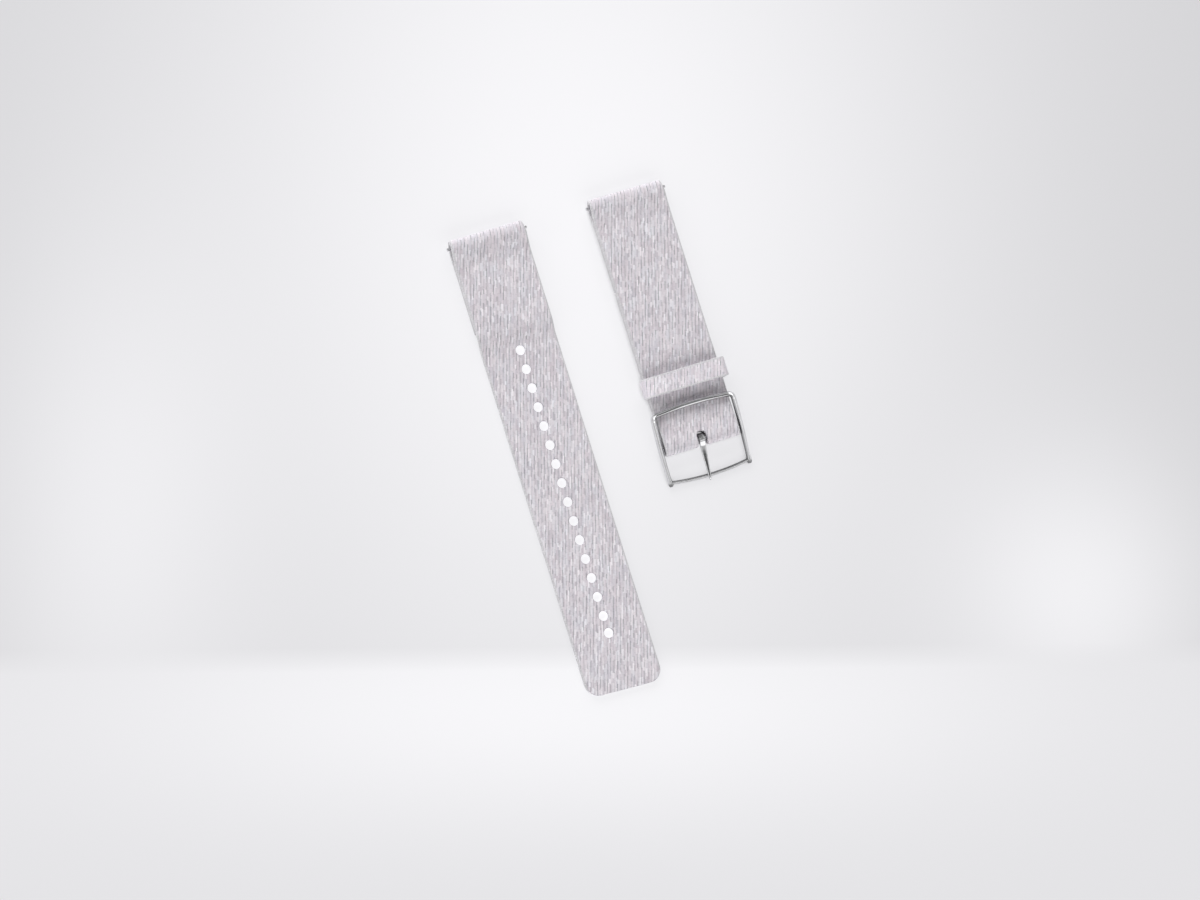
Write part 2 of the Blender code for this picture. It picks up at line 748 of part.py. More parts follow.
def make_rod(pivot):
    """Thin rod between the arm ends, bowed away from the strap."""
    inner = arm_inner(ROD_REACH)
    end = inner + ROD_SOCKET_DEPTH - ROD_FIT
    places = [-end]
    places += [inner * (step / ARC_STEPS * 2 - 1) for step in range(ARC_STEPS + 1)]
    places.append(end)
    path = [(x, -ROD_REACH - bow(ROD_BOW, x / inner)) for x in places]
    section = circle(ROD_RADIUS, ROD_SIDES)
    shape = sweep(path, [section] * len(path), in_frame_plane)
    rod = add_object("buckle_front_rod", shape, steel, (0, 0, frame_lift(-ROD_REACH)))
    rod.parent = pivot


def lowest(section, angle):
    """How far a section reaches below its centre when the frame leans by angle."""
    return -min(up * math.cos(angle) + along * math.sin(angle) for up, along in section)


def frame_rest_angle():
    """Lean at which the frame's top bar lies on the strap."""
    section = frame_section(TOP_BAR_WIDTH / 2, TOP_BAR_HEIGHT / 2)
    bar_ends = TOP_BAR_REACH - TOP_BAR_BOW
    reach = math.hypot(bar_ends, FRAME_RISE)
    offset = math.atan2(FRAME_RISE, bar_ends)
    angle = 0
    for _ in range(ARC_STEPS):
        climb = SHORT_FACE + FRAME_SEAT_GAP + lowest(section, angle) - BAR_HEIGHT
        angle = math.asin(climb / reach) - offset
    return angle


def tang_line():
    """(y, z) of the tang's middle line: round the bar, over its top and out to the tip."""
    radius = BAR_RADIUS + TANG_FIT + TANG_THICKNESS / 2
    line = []
    start = -HALF_TURN - TANG_LAP_ANGLE
    steps = ARC_STEPS * 2
    for step in range(steps + 1):
        turn = start + (QUARTER_TURN - start) * step / steps
        line.append((radius * math.cos(turn), radius * math.sin(turn)))
    return line


def tang_rise():
    """Height of the blade's middle line over the bar's axis, in the tang's own lean."""
    return BAR_RADIUS + TANG_FIT + TANG_THICKNESS / 2


def tang_stations():
    """(y, z, half width, half thickness) along the tang."""
    stations = []
    for y, z in tang_line():
        stations.append((y, z, TANG_WIDTH / 2, TANG_THICKNESS / 2))
    blade = TANG_LENGTH - TANG_NOSE_LENGTH
    for step in range(1, ARC_STEPS + 1):
        share = step / ARC_STEPS
        width = TANG_WIDTH + (TANG_TIP_WIDTH - TANG_WIDTH) * ease(share)
        thickness = TANG_THICKNESS + (TANG_TIP_THICKNESS - TANG_THICKNESS) * share
        stations.append((-blade * share, tang_height(blade * share), width / 2, thickness / 2))
    for step in range(1, CORNER_STEPS):
        turn = QUARTER_TURN * step / CORNER_STEPS
        y = blade + TANG_NOSE_LENGTH * math.sin(turn)
        width = TANG_TIP_WIDTH * math.cos(turn)
        thickness = TANG_TIP_THICKNESS * math.cos(turn)
        stations.append((-y, tang_height(y), width / 2, thickness / 2))
    return stations


def tang_height(y):
    """Height of the blade's middle line, which droops past the rod."""
    rod_mid = ROD_REACH + ROD_BOW
    beyond = max(y - rod_mid, 0) / (TANG_LENGTH - rod_mid)
    return tang_rise() - TANG_TIP_DROOP * beyond * beyond


def tang_rest_angle(frame_angle):
    """Lean at which the blade lies on the front rod."""
    reach = ROD_REACH + ROD_BOW
    lift = frame_lift(-ROD_REACH)
    rod_y = reach * math.cos(frame_angle) + lift * math.sin(frame_angle)
    rod_z = lift * math.cos(frame_angle) - reach * math.sin(frame_angle)
    away = math.hypot(rod_y, rod_z)
    underside = tang_rise() - TANG_THICKNESS / 2
    height = underside - ROD_RADIUS - TANG_SEAT_GAP
    return math.atan2(-rod_z, rod_y) + math.asin(height / away)


def make_tang(place, angle):
    """The tang at rest on the rod, lying to one side by its play in the slot."""
    stations = tang_stations()
    path = [(y, z) for y, z, width, thickness in stations]
    sections = []
    for y, z, width, thickness in stations:
        rounding = min(TANG_ROUNDING, width / 2, thickness / 2)
        sections.append(soft_box(width, thickness, rounding, steps=2))
    shape = sweep(path, sections, along_strap)
    for corner in shape.verts:
        corner.co.x += corner.co.y * math.tan(TANG_PLAY_ANGLE)
    tang = add_object("buckle_tang", shape, steel, place)
    tang.rotation_euler.x = angle


def make_buckle():
    """Frame, rod, tang and spring bar, all about the bar in the buckle end's fold."""
    place = (SHORT_X, BUCKLE_Y, BAR_HEIGHT)
    frame_angle = frame_rest_angle()
    pivot = bpy.data.objects.new("buckle_pivot", None)
    pivot.location = place
    pivot.rotation_euler.x = frame_angle
    bpy.context.scene.collection.objects.link(pivot)
    make_frame(pivot)
    make_rod(pivot)
    make_tang(place, tang_rest_angle(frame_angle))
    make_buckle_bar(place)


def main():
    clear_scene()
    make_long_strap()
    make_long_film()
    make_release_bar("long", LONG_X)
    make_short_strap()
    make_short_film()
    make_release_bar("short", SHORT_X)
    make_keeper()
    make_buckle()


main()
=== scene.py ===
# %% [markdown]
# # A woven watch strap in two halves
# The strap lies face up: the half with the holes on the left, the half with the buckle on
# the right. The engineering model already holds every part in its place. This lesson loads
# it, keeps it as the frame for everything, and dresses it in cloth and polished steel.

import json
import math
from collections import namedtuple

import bmesh
import bpy
import numpy as np
from mathutils import Matrix, Vector


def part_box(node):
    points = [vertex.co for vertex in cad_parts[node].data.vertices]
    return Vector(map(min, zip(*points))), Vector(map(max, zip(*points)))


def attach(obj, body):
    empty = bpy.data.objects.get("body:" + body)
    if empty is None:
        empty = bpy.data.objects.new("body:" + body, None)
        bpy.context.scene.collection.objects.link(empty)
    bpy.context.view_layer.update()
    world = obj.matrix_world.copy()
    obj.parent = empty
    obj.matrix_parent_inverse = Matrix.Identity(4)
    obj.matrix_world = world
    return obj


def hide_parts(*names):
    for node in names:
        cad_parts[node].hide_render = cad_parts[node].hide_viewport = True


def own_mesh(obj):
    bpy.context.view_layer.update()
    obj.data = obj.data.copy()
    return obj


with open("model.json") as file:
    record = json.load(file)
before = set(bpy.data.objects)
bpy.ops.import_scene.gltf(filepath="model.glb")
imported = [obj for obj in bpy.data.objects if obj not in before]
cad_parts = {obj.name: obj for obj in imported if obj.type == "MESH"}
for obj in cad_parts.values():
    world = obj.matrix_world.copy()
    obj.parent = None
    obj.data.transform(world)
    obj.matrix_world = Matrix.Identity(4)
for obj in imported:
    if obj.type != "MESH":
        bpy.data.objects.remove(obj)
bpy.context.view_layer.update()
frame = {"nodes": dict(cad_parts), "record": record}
MM = 0.001

# %% [markdown]
# ## The camera
# The photograph is taken from almost straight above with a long lens, so parallel edges
# stay parallel. A camera needs three directions at right angles: back towards the lens,
# up in the picture, and right. Two are measured from the picture and the third follows
# from them. A far camera with a long lens gives the same flat look.

# %% Point the camera
CAMERA_BACK = Vector((-0.2368, -0.035, 0.97093)).normalized()
CAMERA_UP = Vector((0.282124, 0.953815, 0.10319))
CAMERA_TARGET = Vector((-7.08, -0.88, 0)) * MM
CAMERA_DISTANCE = 1500 * MM
PICTURE_WIDTH = 302.3 * MM
SENSOR_WIDTH = 36.0

camera_data = bpy.data.cameras.new("camera")
camera_data.sensor_width = SENSOR_WIDTH
camera_data.lens = SENSOR_WIDTH * CAMERA_DISTANCE / PICTURE_WIDTH
camera = bpy.data.objects.new("camera", camera_data)
camera_right = CAMERA_UP.cross(CAMERA_BACK).normalized()
camera_turn = Matrix((camera_right, CAMERA_BACK.cross(camera_right), CAMERA_BACK)).transposed()
camera_place = CAMERA_TARGET + CAMERA_BACK * CAMERA_DISTANCE
camera.matrix_world = Matrix.Translation(camera_place) @ camera_turn.to_4x4()
bpy.context.scene.collection.objects.link(camera)
bpy.context.scene.camera = camera
bpy.context.scene.view_settings.view_transform = "Standard"
print("lens", round(camera_data.lens, 1), "mm")

# %% [markdown]
# ## Small helpers for materials
# A procedural material is a chain of nodes. It can be drawn by hand in the shader editor, but
# a chain that is written down can be read, measured and repeated. These helpers add nodes,
# do sums, mix values and colours, and read noise and chance.


# %% Add nodes and link them
def fill(tree, socket, value):
    """Link an output to a socket, or set its value. A colour gets its alpha here."""
    if isinstance(value, bpy.types.NodeSocket):
        tree.links.new(value, socket)
    elif socket.type == "RGBA":
        socket.default_value = (*value, 1)
    else:
        socket.default_value = value


def add_node(tree, kind, **inputs):
    """Add a node and fill its inputs by name, with a value or with another node's output."""
    node = tree.nodes.new(kind)
    for name, value in inputs.items():
        fill(tree, node.inputs[name.replace("_", " ")], value)
    return node


def new_material(name):
    """An empty Principled material. Returns it, its node tree and its shader."""
    made = bpy.data.materials.new(name)
    made.use_nodes = True
    return made, made.node_tree, made.node_tree.nodes["Principled BSDF"]


# %% Sums, ranges and mixes
def sum_up(tree, operation, first, second=0.0, third=0.0):
    """One sum in a Math node. Returns its output."""
    node = tree.nodes.new("ShaderNodeMath")
    node.operation = operation
    for socket, value in zip(node.inputs, (first, second, third)):
        fill(tree, socket, value)
    return node.outputs[0]


def between(tree, value, low, high, at_low=0.0, at_high=1.0):
    """A value carried from one range to another, and held at its ends."""
    reach = add_node(tree, "ShaderNodeMapRange", Value=value, From_Min=low, From_Max=high,
                     To_Min=at_low, To_Max=at_high)
    return reach.outputs["Result"]


def blend_numbers(tree, share, first, second):
    """first where share is 0, second where it is 1."""
    mix = tree.nodes.new("ShaderNodeMix")
    for place, value in ((0, share), (2, first), (3, second)):
        fill(tree, mix.inputs[place], value)
    return mix.outputs[0]


def mix_colours(tree, share, first, second, blend_type="MIX"):
    """Two colours mixed. share says how much the second one counts."""
    mix = tree.nodes.new("ShaderNodeMix")
    mix.data_type = "RGBA"
    mix.blend_type = blend_type
    for place, value in ((0, share), (6, first), (7, second)):
        fill(tree, mix.inputs[place], value)
    return mix.outputs[2]


# %% Colours, stored places and chance
def rgb(red, green, blue):
    """Linear colour from the 0 to 255 values of a picture."""
    shares = [value / 255 for value in (red, green, blue)]
    return tuple(s / 12.92 if s <= 0.04045 else ((s + 0.055) / 1.055) ** 2.4 for s in shares)


def tone_ramp(tree, share, tones):
    """Colours along a ramp. tones is a list of (place, colour)."""
    node = tree.nodes.new("ShaderNodeValToRGB")
    ramp = node.color_ramp
    while len(ramp.elements) < len(tones):
        ramp.elements.new(1.0)
    for element, (place, colour) in zip(ramp.elements, tones):
        element.position = place
        element.color = (*colour, 1)
    fill(tree, node.inputs["Fac"], share)
    return node.outputs["Color"]


def stored_places(tree, name):
    """The three numbers that a mesh stores under a name."""
    stored = add_node(tree, "ShaderNodeAttribute")
    stored.attribute_name = name
    return add_node(tree, "ShaderNodeSeparateXYZ", Vector=stored.outputs["Vector"]).outputs


def noise_at(tree, x, y, z=0.0, detail=0.0):
    """A smooth noise value at three coordinates."""
    spot = add_node(tree, "ShaderNodeCombineXYZ", X=x, Y=y, Z=z).outputs[0]
    noise = add_node(tree, "ShaderNodeTexNoise", Vector=spot, Scale=1.0, Detail=detail)
    return noise.outputs["Fac"]


def chance_at(tree, x, y, z=0.0):
    """A random value for each whole number of its coordinates."""
    spot = add_node(tree, "ShaderNodeCombineXYZ", X=x, Y=y, Z=z).outputs[0]
    return add_node(tree, "ShaderNodeTexWhiteNoise", Vector=spot).outputs["Value"]


# %% [markdown]
# ## The webbing's twill
# The cloth is a fine, steep twill: its ribs lean a little to the right of the strap's
# length, and every rib is a row of floats, the short lengths of yarn that lie on top. The
# pattern could be an image, but counted numbers stay sharp at any distance. It is counted in
# millimetres on the flat cloth, which every mesh stores, so it follows every fold.

# %% Places across and along the ribs
RIB_LEAN = math.radians(17)


def cloth_directions(tree):
    """Millimetres across the ribs and along them, and which face of the cloth it is."""
    across, along, level = stored_places(tree, "weave")
    lean, upright = math.sin(RIB_LEAN), math.cos(RIB_LEAN)
    part = sum_up(tree, "MULTIPLY", along, -lean)
    over = sum_up(tree, "MULTIPLY_ADD", across, upright, part)
    part = sum_up(tree, "MULTIPLY", along, upright)
    up = sum_up(tree, "MULTIPLY_ADD", across, lean, part)
    return over, up, sum_up(tree, "SIGN", level)


# %% Ribs and their floats
RIB_PITCH = 0.43
FLOAT_LENGTH = 1.5
FLOAT_SHIFT = 0.37
UNEVENNESS = 1.3
UNEVEN_ALONG = 0.45
UNLIKE_RIBS = 3.7


def count_floats(tree, over, up):
    """The rib and float that a point is on, and its place within each, from 0 to 1."""
    rib = sum_up(tree, "DIVIDE", over, RIB_PITCH)
    rib_number = sum_up(tree, "FLOOR", rib)
    uneven = noise_at(tree, sum_up(tree, "MULTIPLY", rib_number, UNLIKE_RIBS),
                      sum_up(tree, "MULTIPLY", up, UNEVEN_ALONG))
    run = sum_up(tree, "MULTIPLY_ADD", uneven, UNEVENNESS, sum_up(tree, "DIVIDE", up, FLOAT_LENGTH))
    run = sum_up(tree, "MULTIPLY_ADD", rib_number, FLOAT_SHIFT, run)
    float_number = sum_up(tree, "FLOOR", run)
    return rib_number, float_number, sum_up(tree, "FRACT", rib), sum_up(tree, "FRACT", run)


def from_middle(tree, share):
    """0 in the middle of a yarn and 1 at both of its ends or sides."""
    return sum_up(tree, "ABSOLUTE", sum_up(tree, "MULTIPLY_ADD", share, 2.0, -1.0))


def roundness(tree, share):
    """0 at both sides of a yarn and 1 on its back."""
    return sum_up(tree, "SINE", sum_up(tree, "MULTIPLY", share, math.pi))


# %% Furrows between the ribs
FURROW_LENGTH = 1.15
FURROW_CORE = 0.03
FURROW_REACH = 0.19
FURROW_DRAW = 7.0


def furrow_depth(tree, over, up):
    """The dark line between every two ribs, broken up by chance. 0 is clear, 1 is deepest."""
    pair = sum_up(tree, "DIVIDE", over, RIB_PITCH * 2)
    line = sum_up(tree, "ROUND", pair)
    away = sum_up(tree, "ABSOLUTE", sum_up(tree, "SUBTRACT", pair, line))
    run = sum_up(tree, "MULTIPLY_ADD", line, FLOAT_SHIFT, sum_up(tree, "DIVIDE", up, FURROW_LENGTH))
    depth = chance_at(tree, line, sum_up(tree, "FLOOR", run), FURROW_DRAW)
    return sum_up(tree, "MULTIPLY", depth, between(tree, away, FURROW_CORE, FURROW_REACH, 1.0, 0.0))


# %% Outline and height of a float
OUTLINE_ACROSS = 3.0
OUTLINE_ALONG = 9.0
DIVE_POWER = 6.0
TWISTS_PER_MM = 2.6
TWIST_HEIGHT = 0.12


def past_outline(tree, rib_share, float_share):
    """0 in the middle of a float, about 1 round its rim, more in its corners."""
    across = sum_up(tree, "POWER", from_middle(tree, rib_share), OUTLINE_ACROSS)
    along = sum_up(tree, "POWER", from_middle(tree, float_share), OUTLINE_ALONG)
    return sum_up(tree, "ADD", across, along)


def float_height(tree, up, rib_share, float_share):
    """Round floats that dive at their ends, with the twist of their yarn."""
    dive = sum_up(tree, "POWER", from_middle(tree, float_share), DIVE_POWER)
    height = sum_up(tree, "SUBTRACT", roundness(tree, rib_share), dive)
    turns = sum_up(tree, "MULTIPLY_ADD", up, TWISTS_PER_MM, rib_share)
    twist = sum_up(tree, "SINE", sum_up(tree, "MULTIPLY", turns, math.tau))
    return sum_up(tree, "MULTIPLY_ADD", twist, TWIST_HEIGHT, height)


# %% [markdown]
# ## Edges of the cloth
# Along its two long edges a webbing has a selvedge: the crossing yarn turns back there in
# small loops. Where it is cut or punched, the yarns are sealed with heat, which leaves a
# thin, smoother, slightly darker rim. Both could be modelled, but they are finer than a
# tenth of the cloth's width, so each mesh stores how far a point is from them instead.

# %% Selvedge loops and sealed rims
LOOP_PITCH = 0.62
SELVEDGE_ENDS = 0.55
SELVEDGE_STARTS = 0.25
RIM_ENDS = 0.30
RIM_STARTS = 0.08

Weave = namedtuple("Weave", "over up side rib_number float_number rib_share float_share "
                            "in_selvedge loop_back loop_chance sealed")


def read_weave(tree):
    """What a point of the cloth lies on: its rib, its float, its loop and its rim."""
    over, up, side = cloth_directions(tree)
    edge, length, cut = stored_places(tree, "edges")
    loop = sum_up(tree, "DIVIDE", length, LOOP_PITCH)
    return Weave(over, up, side, *count_floats(tree, over, up),
                 in_selvedge=between(tree, edge, SELVEDGE_ENDS, SELVEDGE_STARTS),
                 loop_back=roundness(tree, sum_up(tree, "FRACT", loop)),
                 loop_chance=chance_at(tree, sum_up(tree, "FLOOR", loop), 0.0),
                 sealed=between(tree, cut, RIM_ENDS, RIM_STARTS))


# %% [markdown]
# ## The webbing's colours
# Heathered yarn is spun from fibres of several greys, so each float has its own tone, from
# lilac grey to nearly white, with a slow drift between cooler and warmer patches. A ramp over
# a random number gives the tones. At a tight bend the tones are pulled towards one light middle
# tone.

# %% Tone and tint of each yarn
CLOTH_TONES = [
    (0.0, rgb(200, 194, 200)), (0.2, rgb(209, 203, 209)), (0.5, rgb(217, 212, 217)),
    (0.85, rgb(225, 221, 225)), (1.0, rgb(238, 235, 239))]
SECOND_RIB_LIFT = 0.08
EVENING_STARTS = 0.15
EVENING_ENDS = 0.6
EVENING_SHARE = 0.45
EVENED_TONE = 0.55
LOOP_TONES = (0.3, -0.1)
YARN_TINTS = [(0.35, (0.965, 0.98, 1.0)), (0.5, (0.995, 0.99, 1.0)), (0.65, (1.0, 0.975, 0.985))]
SELVEDGE_TINT = (0.97, 1.02, 0.985)
PATCH_ACROSS = 0.5
PATCH_ALONG = 0.16
OWN_HUE = 0.25


def yarn_tone(tree, weave):
    """Each float's own tone, from 0 to 1. Where the cloth bends tightly it is pulled towards one
    light tone.
    """
    tone = chance_at(tree, weave.rib_number, weave.float_number, weave.side)
    second_rib = sum_up(tree, "PINGPONG", weave.rib_number, 1.0)
    tone = sum_up(tree, "MULTIPLY_ADD", second_rib, SECOND_RIB_LIFT, tone)
    tone = sum_up(tree, "SUBTRACT", tone, SECOND_RIB_LIFT / 2)
    evening = between(tree, stored_places(tree, "bend_tightness")[0], EVENING_STARTS, EVENING_ENDS, 0.0, EVENING_SHARE)
    tone = blend_numbers(tree, evening, tone, EVENED_TONE)
    loop_tone = sum_up(tree, "MULTIPLY_ADD", weave.loop_chance, *LOOP_TONES)
    return blend_numbers(tree, weave.in_selvedge, tone, loop_tone)


def yarn_tint(tree, weave, brightness):
    """A slow drift between cool and warm, with a little chance of each float's own."""
    patch = noise_at(tree, sum_up(tree, "MULTIPLY", weave.over, PATCH_ACROSS),
                     sum_up(tree, "MULTIPLY", weave.up, PATCH_ALONG), weave.side, detail=1.0)
    own = chance_at(tree, weave.float_number, weave.rib_number, weave.side)
    hue = sum_up(tree, "MULTIPLY_ADD", own, OWN_HUE, sum_up(tree, "MULTIPLY", patch, 1 - OWN_HUE))
    tint = tone_ramp(tree, hue, [
        (place, [share * brightness for share in colour]) for place, colour in YARN_TINTS])
    plain = [share * brightness for share in SELVEDGE_TINT]
    return mix_colours(tree, weave.in_selvedge, tint, plain)


# %% Shade between the yarns
GROOVE_BOTTOM = -0.3
GROOVE_TOP = 0.5
GROOVE_SHADE = 0.76
FURROW_SHADE = 0.56
RIM_SHADE = 0.86
SHADE_TINTS = [(0.35, (0.33, 0.355, 0.36)), (1.0, (1.0, 1.0, 1.0))]


def yarn_shade(tree, weave):
    """The shade round each float, in the furrows and on sealed rims. It is slightly cool."""
    outline = past_outline(tree, weave.rib_share, weave.float_share)
    back = blend_numbers(
        tree, weave.in_selvedge, sum_up(tree, "SUBTRACT", 1.0, outline), weave.loop_back)
    groove = between(tree, back, GROOVE_BOTTOM, GROOVE_TOP, GROOVE_SHADE, 1.0)
    furrow = furrow_depth(tree, weave.over, weave.up)
    furrow = between(tree, furrow, 0.0, 1.0, 1.0, 1 - FURROW_SHADE)
    furrow = blend_numbers(tree, weave.in_selvedge, furrow, 1.0)
    rim = between(tree, weave.sealed, 0.0, 1.0, 1.0, RIM_SHADE)
    shade = sum_up(tree, "MULTIPLY", groove, sum_up(tree, "MULTIPLY", furrow, rim))
    return tone_ramp(tree, shade, SHADE_TINTS)


# %% Woven cloth material
CLOTH_ROUGHNESS = 0.88
RIM_ROUGHNESS = 0.6
RIM_HEIGHT = 0.6
SHEEN = 0.12
SHEEN_ROUGHNESS = 0.5
WEAVE_DEPTH = 0.06 * MM
WEAVE_RELIEF = 0.6


def make_cloth(name, brightness):
    """Twill webbing. brightness is the cloth's level against the tones' own."""
    cloth, tree, shader = new_material(name)
    weave = read_weave(tree)
    yarn = tone_ramp(tree, yarn_tone(tree, weave), CLOTH_TONES)
    for colour in (yarn_tint(tree, weave, brightness), yarn_shade(tree, weave)):
        yarn = mix_colours(tree, 1.0, yarn, colour, "MULTIPLY")
    fill(tree, shader.inputs["Base Color"], yarn)
    fill(tree, shader.inputs["Roughness"],
         between(tree, weave.sealed, 0.0, 1.0, CLOTH_ROUGHNESS, RIM_ROUGHNESS))
    shader.inputs["Sheen Weight"].default_value = SHEEN
    shader.inputs["Sheen Roughness"].default_value = SHEEN_ROUGHNESS
    height = float_height(tree, weave.up, weave.rib_share, weave.float_share)
    height = blend_numbers(tree, weave.in_selvedge, height, weave.loop_back)
    height = blend_numbers(tree, weave.sealed, height, RIM_HEIGHT)
    bump = add_node(
        tree, "ShaderNodeBump", Height=height, Strength=WEAVE_RELIEF, Distance=WEAVE_DEPTH)
    fill(tree, shader.inputs["Normal"], bump.outputs["Normal"])
    print(name, "has", len(tree.nodes), "nodes")
    return cloth


strap_cloth = make_cloth("strap_cloth", 1.02)
# The keeper's cloth is the strap's cloth painted lighter, as painted light on the raised loop.
keeper_cloth_painted_lighter = make_cloth("keeper_cloth_painted_lighter", 1.12)

# %% [markdown]
# ## The strap's line
# Seen from the side, each half is one length of webbing: it runs along the table, turns
# round its bar and comes back over itself. That line could be drawn as a curve object. Here
# it is written as points of (y, z), with the same sizes as the engineering model but finely
# enough to look round, because lengths can then be measured along it.

# %% Sizes of the webbing and its line
HALF_WIDTH = 10.0 * MM
HALF_THICKNESS = 0.55 * MM
FOLD_RADIUS = 1.45 * MM
BAR_HEIGHT = 2.0 * MM
PLY_PITCH = 1.4 * MM
TEARDROP_LENGTH = 6.0 * MM
TOP_Y = 60.25 * MM
BAR_Y = 58.25 * MM
FOLD_BACK_Y = 35.75 * MM
BUCKLE_Y = -5.55 * MM
LONG_X = -19.2 * MM
SHORT_X = 18.35 * MM
STEP_DOWN_STARTS = 0.4 * MM
STEP_DOWN_ENDS = 5.4 * MM
PLY_END_ROOM = 0.25 * MM
FINE = 48


def ease(share):
    """Smooth step from 0 to 1."""
    share = min(max(share, 0), 1)
    return share * share * (3 - 2 * share)


def ramp(start, end):
    """Points of an S-shaped ramp after its start, up to its end."""
    points = []
    for step in range(1, FINE + 1):
        share = step / FINE
        y = start[0] + (end[0] - start[0]) * share
        points.append((y, start[1] + (end[1] - start[1]) * ease(share)))
    return points


def fold(bar_y, start, turn):
    """Points of the half circle round a bar."""
    points = []
    for step in range(FINE + 1):
        angle = start + turn * step / FINE
        points.append((bar_y + FOLD_RADIUS * math.cos(angle),
                       BAR_HEIGHT + FOLD_RADIUS * math.sin(angle)))
    return points


# %% Lines of both halves
def make_long_line():
    """From the hidden end, round the watch bar, down off its own end and on to the tip."""
    stacked = HALF_THICKNESS + PLY_PITCH
    line = [(FOLD_BACK_Y, HALF_THICKNESS), (BAR_Y - TEARDROP_LENGTH, HALF_THICKNESS)]
    line += fold(BAR_Y, -math.pi / 2, math.pi)
    line += ramp(line[-1], (BAR_Y - TEARDROP_LENGTH, stacked))
    line.append((FOLD_BACK_Y - STEP_DOWN_STARTS, stacked))
    line += ramp(line[-1], (FOLD_BACK_Y - STEP_DOWN_ENDS, HALF_THICKNESS))
    line.append((-TOP_Y, HALF_THICKNESS))
    return line


def make_short_line():
    """From one hidden end, round the buckle bar, along the face, round the watch bar."""
    lower = BAR_HEIGHT - PLY_PITCH / 2
    upper = BAR_HEIGHT + PLY_PITCH / 2
    line = [(FOLD_BACK_Y - PLY_END_ROOM, lower), (BUCKLE_Y + TEARDROP_LENGTH, lower)]
    turned = fold(BUCKLE_Y, -math.pi / 2, -math.pi)
    line += ramp(line[-1], turned[0]) + turned[1:]
    line += ramp(line[-1], (BUCKLE_Y + TEARDROP_LENGTH, upper))
    line.append((BAR_Y - TEARDROP_LENGTH, upper))
    turned = fold(BAR_Y, math.pi / 2, -math.pi)
    line += ramp(line[-1], turned[0]) + turned[1:]
    line += ramp(line[-1], (BAR_Y - TEARDROP_LENGTH, lower))
    line.append((FOLD_BACK_Y + PLY_END_ROOM, lower))
    return line


def lengths_along(line):
    """The line as an array, and the length along it at each point."""
    points = np.array(line)
    steps = np.hypot(*np.diff(points, axis=0).T)
    return points, np.concatenate(([0], np.cumsum(steps)))


def length_at(line, y, last=True):
    """Length along the line at a height y, on its last pass or its first."""
    points, lengths = lengths_along(line)
    side = points[:, 0] - y
    crossings = np.nonzero(side[:-1] * side[1:] <= 0)[0]
    k = crossings[-1] if last else crossings[0]
    share = side[k] / (side[k] - side[k + 1])
    return lengths[k] + share * (lengths[k + 1] - lengths[k])


long_line = make_long_line()
short_line = make_short_line()
for name, line in (("long", long_line), ("short", short_line)):
    print(name, "webbing lies flat at", round(lengths_along(line)[1][-1] / MM, 1), "mm")

# %% [markdown]
# ## Cutting the flat webbing
# A folded strap is easiest to make as its maker does: cut it flat, punch it flat, and fold
# it last. A Boolean could punch the holes, but it leaves long thin faces that fold badly.
# Here the flat cloth is a grid of squares. Where a hole comes, the squares are left out and
# rings of faces lead from a round outline to the square gap, so the rim stays round.

# %% Grid lines and openings of the flat cloth
Opening = namedtuple("Opening", "x y spine_x spine_y radius margin")


def lines_between(stops, step):
    """Evenly spaced lines that also pass through every stop."""
    lines = [stops[0]]
    for start, end in zip(stops, stops[1:]):
        count = max(round((end - start) / step), 1)
        lines += [start + (end - start) * i / count for i in range(1, count)] + [end]
    return lines


def on_outline(opening, x, y):
    """The point of a round-ended opening that faces the point (x, y)."""
    near_x = min(max(x, opening.x - opening.spine_x), opening.x + opening.spine_x)
    near_y = min(max(y, opening.y - opening.spine_y), opening.y + opening.spine_y)
    away = Vector((x - near_x, y - near_y)).normalized() * opening.radius
    return near_x + away.x, near_y + away.y


def gap_round(opening):
    """Low and high corner of the square gap that an opening's rings fill."""
    half_x = opening.spine_x + opening.radius + opening.margin
    half_y = opening.spine_y + opening.radius + opening.margin
    return opening.x - half_x, opening.y - half_y, opening.x + half_x, opening.y + half_y


# %% Rings round an opening
RING_COUNT = 4


def fill_with_rings(bm, opening, rim):
    """Rings of quads from the gap's square rim in to the opening's outline."""
    outer = rim
    for ring in range(1, RING_COUNT + 1):
        share = ring / RING_COUNT
        inner = []
        for vert in rim:
            x, y = on_outline(opening, vert.co.x, vert.co.y)
            inner.append(bm.verts.new((vert.co.x + (x - vert.co.x) * share,
                                       vert.co.y + (y - vert.co.y) * share, 0)))
        for k in range(len(rim)):
            after = (k + 1) % len(rim)
            bm.faces.new((outer[k], outer[after], inner[after], inner[k]))
        outer = inner


